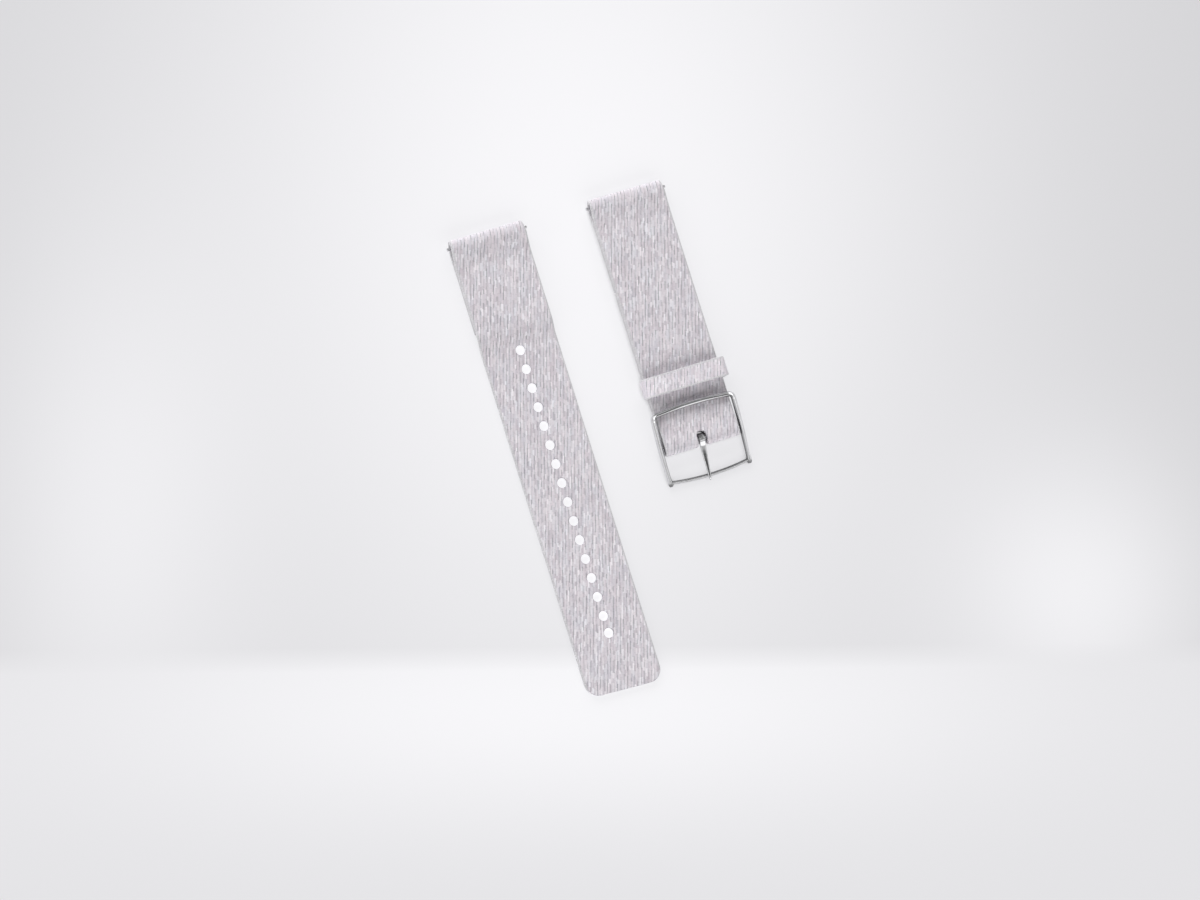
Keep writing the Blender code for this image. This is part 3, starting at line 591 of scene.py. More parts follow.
# %% Flat cloth with its openings
def flat_cloth(half_width, length, openings, step):
    """One sheet of quads, with rings of faces round each opening."""
    gaps = [gap_round(opening) for opening in openings]
    x_stops = sorted({-half_width, half_width} | {g[0] for g in gaps} | {g[2] for g in gaps})
    y_stops = sorted({0, length} | {g[1] for g in gaps} | {g[3] for g in gaps})
    xs, ys = lines_between(x_stops, step), lines_between(y_stops, step)
    bm = bmesh.new()
    grid = {}

    def corner(i, j):
        if (i, j) not in grid:
            grid[i, j] = bm.verts.new((xs[i], ys[j], 0))
        return grid[i, j]

    for i in range(len(xs) - 1):
        for j in range(len(ys) - 1):
            x, y = (xs[i] + xs[i + 1]) / 2, (ys[j] + ys[j + 1]) / 2
            if not any(g[0] < x < g[2] and g[1] < y < g[3] for g in gaps):
                bm.faces.new((corner(i, j), corner(i + 1, j),
                              corner(i + 1, j + 1), corner(i, j + 1)))
    for opening, gap in zip(openings, gaps):
        i0, i1 = xs.index(gap[0]), xs.index(gap[2])
        j0, j1 = ys.index(gap[1]), ys.index(gap[3])
        rim = [corner(i, j0) for i in range(i0, i1)] + [corner(i1, j) for j in range(j0, j1)]
        rim += [corner(i, j1) for i in range(i1, i0, -1)]
        rim += [corner(i0, j) for j in range(j1, j0, -1)]
        fill_with_rings(bm, opening, rim)
    return bm


# %% [markdown]
# ## Thickness, then folding
# Two modifiers turn the sheet into webbing: Solidify gives it thickness and Bevel rounds
# its cut edges. Their result is kept as a plain mesh. Then each point, still flat, is
# carried to its place along the line. A Curve modifier could bend the sheet too, but here
# the flat places are stored on the mesh on the way, and the cloth material reads them.

# %% Thicken a flat sheet
EDGE_ROUNDING = 0.25 * MM
EDGE_SEGMENTS = 3


def keep_result(piece, spares=()):
    """The mesh that an object's modifiers make, under the object's name. The object goes."""
    depsgraph = bpy.context.evaluated_depsgraph_get()
    made = bpy.data.meshes.new_from_object(piece.evaluated_get(depsgraph))
    name, mesh = piece.data.name, piece.data
    for spare in (piece, *spares):
        bpy.data.objects.remove(spare)
    bpy.data.meshes.remove(mesh)
    made.name = name
    return made


def thicken(name, bm, thickness):
    """Give a flat sheet its thickness and rounded edges."""
    mesh = bpy.data.meshes.new(name)
    bm.to_mesh(mesh)
    bm.free()
    flat = bpy.data.objects.new(name, mesh)
    bpy.context.scene.collection.objects.link(flat)
    solid = flat.modifiers.new("thickness", "SOLIDIFY")
    solid.thickness = thickness
    solid.offset = 0
    bevel = flat.modifiers.new("edges", "BEVEL")
    bevel.width = EDGE_ROUNDING
    bevel.segments = EDGE_SEGMENTS
    bevel.limit_method = "ANGLE"
    return keep_result(flat)


# %% Fold it along a line
def vertex_places(mesh):
    places = np.empty(len(mesh.vertices) * 3)
    mesh.vertices.foreach_get("co", places)
    return places.reshape(-1, 3)


def store_places(mesh, name, places):
    """Store three numbers for each point of a mesh under a name."""
    stored = mesh.attributes.new(name, "FLOAT_VECTOR", "POINT")
    stored.data.foreach_set("vector", np.ascontiguousarray(places).ravel())


def distance_from_cuts(flat, half_width, length, openings, tip_radius):
    """How far each flat point is from the nearest cut or punched edge."""
    cut = np.minimum(flat[:, 1], length - flat[:, 1])
    for opening in openings:
        past_x = np.maximum(np.abs(flat[:, 0] - opening.x) - opening.spine_x, 0)
        past_y = np.maximum(np.abs(flat[:, 1] - opening.y) - opening.spine_y, 0)
        cut = np.minimum(cut, np.hypot(past_x, past_y) - opening.radius)
    if tip_radius:
        past_x = np.maximum(np.abs(flat[:, 0]) - half_width + tip_radius, 0)
        past_y = np.maximum(flat[:, 1] - length + tip_radius, 0)
        cut = np.where(past_y > 0, np.minimum(cut, tip_radius - np.hypot(past_x, past_y)), cut)
    return cut


def fold_along(mesh, line, outer, half_width, openings=(), tip_radius=0.0, crosswise=False):
    """Carry flat points to the line. outer is 1 where flat +z ends up outside, else -1."""
    points, lengths = lengths_along(line)
    flat = vertex_places(mesh)
    counted = np.stack((flat[:, 0], flat[:, 1] * outer, flat[:, 2]), 1) / MM
    store_places(mesh, "weave", counted[:, (1, 0, 2)] if crosswise else counted)
    cut = distance_from_cuts(flat, half_width, lengths[-1], openings, tip_radius)
    edge = half_width - np.abs(flat[:, 0])
    store_places(mesh, "edges", np.stack((edge, flat[:, 1], cut), 1) / MM)
    slope = np.gradient(points, lengths, axis=0)
    slope /= np.hypot(*slope.T)[:, None]
    bend = np.hypot(*np.gradient(slope, lengths, axis=0).T) * MM
    at = [np.interp(flat[:, 1], lengths, column) for column in (*points.T, *slope.T, bend)]
    y, z, along_y, along_z, bend = at
    store_places(mesh, "bend_tightness", np.stack((bend, bend, bend), 1))
    size = np.hypot(along_y, along_z)
    lift = flat[:, 2] * outer
    return np.stack((flat[:, 0], y - along_z / size * lift, z + along_y / size * lift), 1)


# %% Hand a finished mesh over
def show_piece(mesh, material, body, node):
    """Make a mesh a piece that stands for a node, moves with its body and carries its material."""
    mesh.shade_smooth()
    mesh.materials.clear()
    mesh.materials.append(material)
    piece = bpy.data.objects.new(mesh.name, mesh)
    bpy.context.scene.collection.objects.link(piece)
    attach(piece, body)
    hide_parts(node)
    print(piece.name, "has", len(mesh.polygons), "faces")
    return piece


def show_cloth(mesh, place, x, material, body, node):
    """Set a folded mesh's points, carry it to its half's place and show it."""
    mesh.vertices.foreach_set("co", place.ravel())
    mesh.transform(Matrix.Translation((x, 0, 0)))
    bm = bmesh.new()
    bm.from_mesh(mesh)
    bmesh.ops.recalc_face_normals(bm, faces=bm.faces)
    bm.to_mesh(mesh)
    bm.free()
    return show_piece(mesh, material, body, node)


# %% [markdown]
# ## The webbing of both halves
# The long half has sixteen punched holes, a window under the fold for the release lever, and
# a tip with two rounded corners, cut a little askew. The short half is wrapped round both
# bars and its ends meet underneath. A slot with round ends runs over its buckle fold, and
# the tang swings in it. Both narrow a little towards the fold, where they go between the
# watch's lugs. One function makes both, since only their lines and openings differ.

# %% Shapes that both halves share
CLOTH_STEP = 0.5 * MM
WINDOW_MARGIN = 1.1 * MM
WINDOW_RADIUS = 1.1 * MM
WINDOW_SHIFT = 0.2 * MM
LEVER_X = -7.4 * MM
LEVER_TRAVEL = 1.5 * MM
FOLD_NARROWING = 0.3 * MM
FOLD_TAPER = 3.5 * MM
TIP_RADIUS = 3.6 * MM
TIP_SKEW = 0.045


def narrow_towards_fold(place):
    """Narrow the webbing near the fold."""
    share = np.clip((TOP_Y - place[:, 1]) / FOLD_TAPER, 0, 1)
    eased = share * share * (3 - 2 * share)
    place[:, 0] *= 1 - FOLD_NARROWING / HALF_WIDTH * (1 - eased)


def round_tip(mesh, length):
    """Pull the flat webbing in at the corners of its tip."""
    place = vertex_places(mesh)
    into = np.clip((TIP_RADIUS + place[:, 1] - length) / TIP_RADIUS, 0, 1)
    half = HALF_WIDTH - TIP_RADIUS * (1 - np.sqrt(1 - into * into))
    place[:, 0] *= half / HALF_WIDTH
    mesh.vertices.foreach_set("co", place.ravel())


def skew_tip(place):
    """The tip is cut a little askew, longer on its right."""
    share = np.clip((TIP_RADIUS * 2 - TOP_Y - place[:, 1]) / TIP_RADIUS, 0, 1)
    place[:, 1] -= TIP_SKEW * place[:, 0] * share


def lever_window(line, last, shift):
    """The window for the release lever, as long as the lever's way."""
    y = length_at(line, BAR_Y, last) + shift
    return Opening(
        LEVER_X + LEVER_TRAVEL / 2, y, LEVER_TRAVEL / 2, 0, WINDOW_RADIUS, WINDOW_MARGIN)


def make_webbing(name, line, outer, openings, x, tip_radius=0.0):
    """One half's webbing: cut, thickened, folded and shown."""
    length = float(lengths_along(line)[1][-1])
    sheet = flat_cloth(HALF_WIDTH, length, openings, CLOTH_STEP)
    mesh = thicken(name + "_webbing", sheet, HALF_THICKNESS * 2)
    if tip_radius:
        round_tip(mesh, length)
    place = fold_along(mesh, line, outer, HALF_WIDTH, openings, tip_radius)
    narrow_towards_fold(place)
    if tip_radius:
        skew_tip(place)
    return show_cloth(mesh, place, x, strap_cloth, name + "_half", name + "_strap")


# %% Long half's webbing
HOLE_RADIUS = 1.25 * MM
HOLE_MARGIN = 0.9 * MM
FIRST_HOLE_Y = 28.95 * MM
LAST_HOLE_Y = -45.5 * MM
HOLE_PITCH = 5.0 * MM
EVEN_HOLES = 15

hole_ys = [FIRST_HOLE_Y - HOLE_PITCH * i for i in range(EVEN_HOLES)] + [LAST_HOLE_Y]
long_openings = [
    Opening(0, length_at(long_line, y), 0, 0, HOLE_RADIUS, HOLE_MARGIN) for y in hole_ys]
long_openings.append(lever_window(long_line, False, WINDOW_SHIFT))
make_webbing("long", long_line, -1, long_openings, LONG_X, TIP_RADIUS)

# %% Short half's webbing
SLOT_RADIUS = 1.25 * MM
SLOT_TOP_Y = -3.65 * MM

slot_start = length_at(short_line, SLOT_TOP_Y, last=False)
slot_end = length_at(short_line, SLOT_TOP_Y)
slot_spine = (slot_end - slot_start) / 2 - SLOT_RADIUS
short_openings = [
    Opening(0, (slot_start + slot_end) / 2, 0, slot_spine, SLOT_RADIUS, WINDOW_MARGIN),
    lever_window(short_line, True, -WINDOW_SHIFT)]
make_webbing("short", short_line, 1, short_openings, SHORT_X)

# %% [markdown]
# ## The keeper loop
# The loop is a narrow band of the same cloth, bent round the strap and left free to slide. It
# holds the long half's tail. It could be a bent box, but cut and folded as the straps are,
# its weave turns its corners as real cloth does. Its line runs round the strap.

# %% Keeper's line
KEEPER_SIDE = 10.725 * MM
KEEPER_FLOOR = 0.355 * MM
KEEPER_SHOULDER = 5.025 * MM
KEEPER_ARCH = 0.2 * MM
KEEPER_LOW_RADIUS = 0.8 * MM
KEEPER_HIGH_RADIUS = 1.5 * MM
SEAM_GAP = 0.01 * MM


def make_keeper_line():
    """Round the strap from the middle underneath, as (x, z)."""
    line = [(0.0, KEEPER_FLOOR)]
    corners = (
        (-KEEPER_SIDE, KEEPER_FLOOR, KEEPER_LOW_RADIUS, 1, math.pi * 1.5),
        (-KEEPER_SIDE, KEEPER_SHOULDER, KEEPER_HIGH_RADIUS, -1, math.pi),
        (KEEPER_SIDE, KEEPER_SHOULDER, KEEPER_HIGH_RADIUS, -1, math.pi / 2),
        (KEEPER_SIDE, KEEPER_FLOOR, KEEPER_LOW_RADIUS, 1, 0))
    for x, z, radius, level, start in corners:
        inward = 1 if x < 0 else -1
        for step in range(FINE + 1):
            turn = start - math.pi / 2 * step / FINE
            line.append((x + inward * radius + radius * math.cos(turn),
                         z + level * radius + radius * math.sin(turn)))
        if x < 0 and level < 0:
            reach = KEEPER_SIDE - KEEPER_HIGH_RADIUS
            for step in range(1, FINE):
                share = step / FINE
                line.append((reach * (share * 2 - 1),
                             z + KEEPER_ARCH * math.sin(math.pi * share)))
    line.append((-SEAM_GAP, KEEPER_FLOOR))
    return line


# %% Keeper loop
KEEPER_WIDTH = 5.0 * MM
KEEPER_THICKNESS = 0.65 * MM
KEEPER_Y = 10.25 * MM
KEEPER_LEAN = 0.3 * MM
KEEPER_SHIFT = 0.25 * MM

keeper_line = make_keeper_line()
keeper_length = float(lengths_along(keeper_line)[1][-1])
keeper_sheet = flat_cloth(KEEPER_WIDTH / 2, keeper_length, [], CLOTH_STEP / 2)
keeper_mesh = thicken("keeper_band", keeper_sheet, KEEPER_THICKNESS)
along, side, level = fold_along(
    keeper_mesh, keeper_line, 1, KEEPER_WIDTH / 2, crosswise=True).T
shifted = side + (KEEPER_SHIFT + KEEPER_LEAN * level / KEEPER_SHOULDER)
show_cloth(keeper_mesh, np.stack((shifted, along + KEEPER_Y, level), 1), SHORT_X,
           keeper_cloth_painted_lighter, "keeper", "keeper_loop")
print("keeper lies flat at", round(keeper_length / MM, 1), "mm")

# %% [markdown]
# ## Steel, wire and film
# Polished steel shows almost nothing of itself and everything of its surroundings, so its
# finish is a metal with very low roughness. Wear is what makes it real: faint cloudy
# patches where fingers dull it, and hairline scratches that run along the parts. Some places
# are rougher and are also painted darker, as painted shade: the frame's inner faces and lug
# ends, the rod's side towards the strap and the tang's eye in the slot. The meshes store
# where that is, and the solids that keep their own mesh store nothing, so they are polished
# all over. The rod's steel is a little rougher than the buckle's frame, and is painted a
# little darker, as painted shade.

# %% Finish of the hard parts
HAIR_SCALE = (9000.0, 700.0, 9000.0)
HAIR_RELIEF = 0.12
HAIR_DEPTH = 0.01 * MM
CLOUD_SHADE = 0.9
CLOUD_SPREAD = 0.3
PAINTED_SHADE_LEVEL = 0.38
DULL_ROUGHNESS = 0.2


def make_hard(name, colour, roughness, grain, metallic=1.0):
    """A hard finish with cloudy wear and hairlines. grain is the clouds' count per metre."""
    hard, tree, shader = new_material(name)
    shader.inputs["Metallic"].default_value = metallic
    place = add_node(tree, "ShaderNodeTexCoord").outputs["Object"]
    cloud = add_node(
        tree, "ShaderNodeTexNoise", Vector=place, Scale=grain, Detail=3.0).outputs["Fac"]
    tone = tone_ramp(tree, cloud, [(0.3, [c * CLOUD_SHADE for c in colour]), (0.7, colour)])
    # Where a mesh stores it, the steel is rougher and its colour is painted darker, as painted
    # shade.
    dull_and_shaded = stored_places(tree, "dull_and_shaded")[0]
    dimmed = between(tree, dull_and_shaded, 0.0, 1.0, 1.0, PAINTED_SHADE_LEVEL)
    fill(tree, shader.inputs["Base Color"], mix_colours(tree, 1.0, tone, dimmed, "MULTIPLY"))
    gloss = between(
        tree, cloud, 0.0, 1.0, roughness * (1 - CLOUD_SPREAD), roughness * (1 + CLOUD_SPREAD))
    fill(tree, shader.inputs["Roughness"],
         sum_up(tree, "MULTIPLY_ADD", dull_and_shaded, DULL_ROUGHNESS, gloss))
    hair = add_node(tree, "ShaderNodeMapping", Vector=place, Scale=HAIR_SCALE).outputs[0]
    lines = add_node(tree, "ShaderNodeTexNoise", Vector=hair, Scale=1.0).outputs["Fac"]
    bump = add_node(
        tree, "ShaderNodeBump", Height=lines, Strength=HAIR_RELIEF, Distance=HAIR_DEPTH)
    fill(tree, shader.inputs["Normal"], bump.outputs["Normal"])
    return hard


polished_steel = make_hard("polished_steel", rgb(224, 224, 226), 0.11, 600.0)
# The rod's steel is rougher than the frame's, and its colour is painted a little darker, as painted
# shade.
rougher_shaded_steel = make_hard("rougher_shaded_steel", rgb(214, 214, 216), 0.16, 600.0)
spring_wire = make_hard("spring_wire", rgb(178, 178, 181), 0.35, 2500.0)
bond_film = make_hard("adhesive_film", rgb(226, 224, 216), 0.5, 900.0, metallic=0.0)

# %% Finish the solids that stay
finishes = {
    "polished_steel": polished_steel, "spring_wire": spring_wire, "adhesive_film": bond_film}
for subpart in frame["record"]["subparts"]:
    finish = finishes.get(subpart["material_slot"])
    if finish:
        frame["nodes"][subpart["node"]].material_slots[0].material = finish
        print(subpart["node"], "is finished as", finish.name)

# %% [markdown]
# ## Skins over rings
# The buckle's steel parts are long, with a section that changes slowly along them. A curve
# with a bevel would keep one section all along. So each shape is a row of rings, each the
# section at one place, with faces laid between them. The section is a rectangle with well
# rounded corners, because polishing rounds every edge.


# %% Sections, rings and skins
def rounded_section(half_side, half_up, rounding, steps=6):
    """(side, up) points round a rectangle with rounded corners."""
    rounding = min(rounding, half_side, half_up)
    points = []
    for quarter, (side, level) in enumerate(((1, 1), (-1, 1), (-1, -1), (1, -1))):
        for step in range(steps + 1):
            turn = math.pi / 2 * (quarter + step / steps)
            points.append((side * (half_side - rounding) + rounding * math.cos(turn),
                           level * (half_up - rounding) + rounding * math.sin(turn)))
    return points


def rings_along(path, sections, lay):
    """Rings of sections square to a path in a plane. lay(p, q, side) gives the point."""
    line = np.array(path)
    along = np.gradient(line, axis=0)
    along /= np.hypot(*along.T)[:, None]
    rings = []
    for (p, q), (dp, dq), section in zip(line, along, sections):
        rings.append([lay(p - dq * up, q + dp * up, side) for side, up in section])
    return rings


def skin(name, rings):
    """A mesh over a row of rings, with flat ends."""
    bm = bmesh.new()
    rows = [[bm.verts.new(point) for point in ring] for ring in rings]
    for near, far in zip(rows, rows[1:]):
        for k in range(len(near)):
            after = (k + 1) % len(near)
            bm.faces.new((near[k], near[after], far[after], far[k]))
    bm.faces.new(rows[0])
    bm.faces.new(rows[-1])
    bmesh.ops.remove_doubles(bm, verts=bm.verts, dist=1e-8)
    bmesh.ops.recalc_face_normals(bm, faces=bm.faces)
    mesh = bpy.data.meshes.new(name)
    bm.to_mesh(mesh)
    bm.free()
    return mesh


# %% Seat and show a steel mesh
SHARP_ANGLE = math.radians(50)


def store_dullness_and_shade(mesh, dull_and_shaded):
    """Store how dull each point of a steel mesh is, from 0 to 1. The same number paints shade
    there.
    """
    store_places(mesh, "dull_and_shaded", np.stack((dull_and_shaded, dull_and_shaded, dull_and_shaded), 1))


def seat_at_buckle(mesh, lean):
    """Lean a mesh about the buckle's bar and carry it there."""
    place = Vector((SHORT_X, BUCKLE_Y, BAR_HEIGHT))
    mesh.transform(Matrix.Translation(place) @ Matrix.Rotation(lean, 4, "X"))


def show_hard(mesh, material, body, node):
    """Show a hard mesh: smooth where it is round, sharp at its edges."""
    piece = show_piece(mesh, material, body, node)
    mesh.set_sharp_from_angle(angle=SHARP_ANGLE)
    return piece


# %% [markdown]
# ## The buckle's frame
# One bent and polished steel bar: two arms, a top bar that bows slightly and lies on the
# strap, and two lug ends turned up a little. It leans, because its top bar rests on the
# cloth. Half of it is worked out, from the lug to the middle of the top bar, and the other
# half is its mirror image, so that both sides are the same as on a real frame.

# %% Sizes of the frame
FRAME_LEAN = 0.195772
ARM_INNER = 10.45 * MM
ARM_BOW = 0.25 * MM
TOP_REACH = 9.45 * MM
TOP_BOW = 0.4 * MM
TOP_HALF_WIDTH = 0.65 * MM
TOP_HALF_HEIGHT = 0.6 * MM
ARM_REACH = 9.6 * MM
ROD_REACH = 8.65 * MM
CORNER_RADIUS = 1.5 * MM
ARM_AT_BAR = (1.15, 1.7)
ARM_AT_TOP = (1.3, 1.2)
ARM_AT_LUG = (0.95, 1.25)
FRAME_LIFT = 0.2 * MM
LUG_LIFT = 0.4 * MM


def arm_inner(y):
    """Distance from the middle to an arm's inner face."""
    return ARM_INNER - ARM_BOW * (y / TOP_REACH) ** 2


def arm_size(y):
    """Half width and half height of an arm, thinner towards both ends."""
    share = ease(y / TOP_REACH if y > 0 else -y / ROD_REACH)
    ends = zip(ARM_AT_BAR, ARM_AT_TOP if y > 0 else ARM_AT_LUG)
    return [(at_bar + (at_end - at_bar) * share) / 2 * MM for at_bar, at_end in ends]


def frame_height(y):
    """Height over the bar's middle: the arms turn up towards their lugs."""
    return FRAME_LIFT + LUG_LIFT * (min(y, 0) / ARM_REACH) ** 2


# %% Section of the frame
FRAME_ROUNDING = 0.45 * MM
CROWN = 0.13 * MM
CORNER_SLOPE = 0.2
SLOPE_X = 2.5 * MM
SLOPE_Y = -9.0 * MM
SLOPE_EASE = 6.0 * MM


def fall_away(x, y):
    """Outward slope of the top face: most at the corners, none at the middle and the lugs."""
    towards_corner = ease((abs(x) - SLOPE_X) / SLOPE_EASE)
    return CORNER_SLOPE * towards_corner * ease((y - SLOPE_Y) / SLOPE_EASE)


def polished_section(half_height, half_width, slope):
    """(height, offset) round a bar whose top is crowned and falls away outwards."""
    points = []
    for height, offset in rounded_section(half_height, half_width, FRAME_ROUNDING):
        if height > 0:
            share = offset / half_width
            height += slope * offset - CROWN * share * share
        points.append((height, offset))
    return points


# %% Stations along half the frame
NOSE_RADIUS = 0.625 * MM
NOSE_SHARE = 0.35
LUG_SWELL = 0.16 * MM
SWELL_ENDS = 1.6 * MM
SWELL_EASE = 1.2 * MM
NOSE_STEPS = 12
ARM_STEPS = 40
CORNER_STEPS = 16
TOP_STEPS = 24


def frame_half():
    """(x, y, half width, half height) from the right lug to the middle of the top bar."""
    stations = []
    straight = TOP_REACH - TOP_BOW - CORNER_RADIUS
    lug = NOSE_RADIUS - ARM_REACH
    for step in range(NOSE_STEPS):
        turn = math.pi / 2 * step / NOSE_STEPS
        y = lug - NOSE_RADIUS * math.cos(turn)
        width, height = arm_size(y)
        share = max(math.sin(turn), NOSE_SHARE)
        stations.append((arm_inner(y) + width, y, (width + LUG_SWELL) * (1 + share) / 2,
                         height * share))
    for step in range(ARM_STEPS + 1):
        y = lug + (straight - lug) * step / ARM_STEPS
        width, height = arm_size(y)
        swell = LUG_SWELL * ease((lug + SWELL_ENDS - y) / SWELL_EASE)
        stations.append((arm_inner(y) + width, y, width + swell, height))
    reach = stations[-1][0] - CORNER_RADIUS
    for step in range(1, CORNER_STEPS + 1):
        turn = math.pi / 2 * step / CORNER_STEPS
        stations.append((reach + CORNER_RADIUS * math.cos(turn),
                         straight + CORNER_RADIUS * math.sin(turn),
                         TOP_HALF_WIDTH, TOP_HALF_HEIGHT))
    for step in range(1, TOP_STEPS + 1):
        share = 1 - step / TOP_STEPS
        y = straight + CORNER_RADIUS + TOP_BOW * (1 - share * share)
        stations.append((reach * share, y, TOP_HALF_WIDTH, TOP_HALF_HEIGHT))
    return stations


# %% Where the frame is rougher and painted darker, and its blind holes
DULL_AND_SHADE_DEPTH = 0.24 * MM
DULL_AND_SHADE_START = 0.3
DULL_AND_SHADE_LUG_Y = 8.5 * MM
DULL_AND_SHADE_LUG_EASE = 0.5 * MM
BORE_SIDES = 32


def frame_dullness_and_shade(mesh):
    """The inner faces and the lug ends are rougher and painted darker, as painted shade."""
    place = vertex_places(mesh)
    x, y = np.abs(place[:, 0]), place[:, 1]
    past_arm = x - arm_inner(y)
    past_bar = y - (TOP_REACH - TOP_HALF_WIDTH - TOP_BOW * (x / ARM_INNER) ** 2)
    inside = 1 - np.clip(np.maximum(past_arm, past_bar) / DULL_AND_SHADE_DEPTH - DULL_AND_SHADE_START, 0, 1)
    lug = np.clip((-y - DULL_AND_SHADE_LUG_Y) / DULL_AND_SHADE_LUG_EASE, 0, 1)
    return np.maximum(inside, lug)


def drill(mesh, bores):
    """Cut round blind holes along X. Each bore is (start, y, z, depth, radius)."""
    piece = bpy.data.objects.new(mesh.name, mesh)
    bpy.context.scene.collection.objects.link(piece)
    cutters = []
    for start, y, z, depth, radius in bores:
        turns = [math.tau * k / BORE_SIDES for k in range(BORE_SIDES)]
        rings = [[(x, y + radius * math.cos(t), z + radius * math.sin(t)) for t in turns]
                 for x in (start, start + depth)]
        cutter = bpy.data.objects.new("cutter", skin("cutter", rings))
        bpy.context.scene.collection.objects.link(cutter)
        cutters.append(cutter)
        hole = piece.modifiers.new("hole", "BOOLEAN")
        hole.operation = "DIFFERENCE"
        hole.solver = "EXACT"
        hole.object = cutter
    return keep_result(piece, cutters)


# %% Buckle frame
SOCKET_DEPTH = 0.75 * MM
SOCKET_RADIUS = 0.45 * MM
ROD_SOCKET_DEPTH = 0.65 * MM
ROD_SOCKET_RADIUS = 0.46 * MM
CUTTER_SPARE = 0.5 * MM


def make_frame():
    """Skin the frame's stations, drill its four sockets and seat it."""
    right = frame_half()
    stations = right + [(-x, y, w, h) for x, y, w, h in reversed(right[:-1])]
    path = [(x, y) for x, y, w, h in stations]
    sections = [polished_section(h, w, fall_away(x, y)) for x, y, w, h in stations]
    rings = rings_along(path, sections, lambda x, y, up: (x, y, up + frame_height(y)))
    bores = []
    for side in (-1, 1):
        bores.append((side * (ARM_INNER - CUTTER_SPARE), 0, 0,
                      side * (SOCKET_DEPTH + CUTTER_SPARE), SOCKET_RADIUS))
        bores.append((side * (arm_inner(ROD_REACH) - CUTTER_SPARE), -ROD_REACH,
                      frame_height(-ROD_REACH), side * (ROD_SOCKET_DEPTH + CUTTER_SPARE),
                      ROD_SOCKET_RADIUS))
    mesh = drill(skin("frame_bar", rings), bores)
    store_dullness_and_shade(mesh, frame_dullness_and_shade(mesh))
    seat_at_buckle(mesh, FRAME_LEAN)
    return show_hard(mesh, polished_steel, "frame", "buckle_frame")


make_frame()

# %% [markdown]
# ## The front rod
# A thin round rod between the lug ends, bowed away from the strap. The tang's tip rests on
# it. It is a row of round rings, like the frame, so that its ends sit in their sockets.

# %% Front rod
ROD_RADIUS = 0.43 * MM
ROD_BOW = 0.8 * MM
ROD_IN_SOCKET = 0.62 * MM
ROD_STEPS = 40
ROD_DULLNESS_AND_SHADE = 0.8


def rod_y(x):
    """Where the bowed rod runs. Inside its sockets it is straight."""
    return -ROD_REACH - ROD_BOW * (1 - np.minimum((x / arm_inner(ROD_REACH)) ** 2, 1))


def make_rod():
    """Skin the rod's rings. Its side towards the strap is rougher and painted darker, as painted
    shade.
    """
    inner = arm_inner(ROD_REACH)
    end = inner + ROD_IN_SOCKET
    xs = [inner * (step / ROD_STEPS * 2 - 1) for step in range(ROD_STEPS + 1)]
    path = [(x, rod_y(x)) for x in [-end] + xs + [end]]
    height = frame_height(-ROD_REACH)
    sections = [rounded_section(ROD_RADIUS, ROD_RADIUS, ROD_RADIUS)] * len(path)
    rings = rings_along(path, sections, lambda x, y, up: (x, y, up + height))
    mesh = skin("front_rod", rings)
    place = vertex_places(mesh)
    past_middle = (place[:, 1] - rod_y(place[:, 0])) / ROD_RADIUS
    store_dullness_and_shade(mesh, np.clip(past_middle + 0.5, 0, 1) * ROD_DULLNESS_AND_SHADE)
    seat_at_buckle(mesh, FRAME_LEAN)
    return show_hard(mesh, rougher_shaded_steel, "frame", "buckle_front_rod")


make_rod()

# %% [markdown]
# ## The tang
# A steel tongue rolled round the bar. It leaves its eye at the front, drops into the slot
# and runs out to the rod, narrowing to a small rounded tip. It lies a little to one side,
# by the play in its eye. It is bent from one strip, so one line of rings makes all of it.

# %% Tang's line
EYE_RADIUS = 1.085 * MM
EYE_START = math.radians(-202)
EYE_LEAVE = math.radians(135)
KNEE = (-1.9 * MM, 0.15 * MM)
KNEE_DROP = 0.05 * MM
BLADE_END = (-9.42 * MM, -0.60 * MM)
TIP_LENGTH = 1.35 * MM
TIP_DROP = 0.13 * MM
TIP_CURL = 0.12 * MM
EYE_STEPS = 72
BLADE_STEPS = 60
TIP_STEPS = 12


def tang_line():
    """(y, z) about the bar: round the eye, down out of it and along the blade."""
    line = []
    for step in range(EYE_STEPS + 1):
        turn = EYE_START + (EYE_LEAVE - EYE_START) * step / EYE_STEPS
        line.append((EYE_RADIUS * math.cos(turn), EYE_RADIUS * math.sin(turn)))
    start, end = line[-1], BLADE_END
    for step in range(1, BLADE_STEPS + 1):
        share = step / BLADE_STEPS
        bend = (1 - share) ** 5
        y = start[0] + (end[0] - start[0]) * share
        z = KNEE[1] + (end[1] - KNEE[1]) * (y - KNEE[0]) / (end[0] - KNEE[0])
        line.append((y, z + (start[1] - KNEE[1] - KNEE_DROP) * bend ** 2))
    for step in range(1, TIP_STEPS + 1):
        share = step / TIP_STEPS
        y = end[0] - TIP_LENGTH * share
        line.append((y, end[1] - TIP_DROP * share - TIP_CURL * share * share))
    return line


# %% Tang
TANG_WIDTH = 1.6
TANG_NARROWING = 0.9
TANG_THICKNESS = 0.55
TANG_THINNING = 0.1
TANG_ROUNDING = 0.14 * MM
ROUND_TIP_STEPS = 8
LEAST_TIP = 0.02
TANG_PLAY = math.radians(3)
DULL_AND_SHADED_EYE = 0.8
DULL_AND_SHADED_EYE_Y = (-0.9, -0.4)


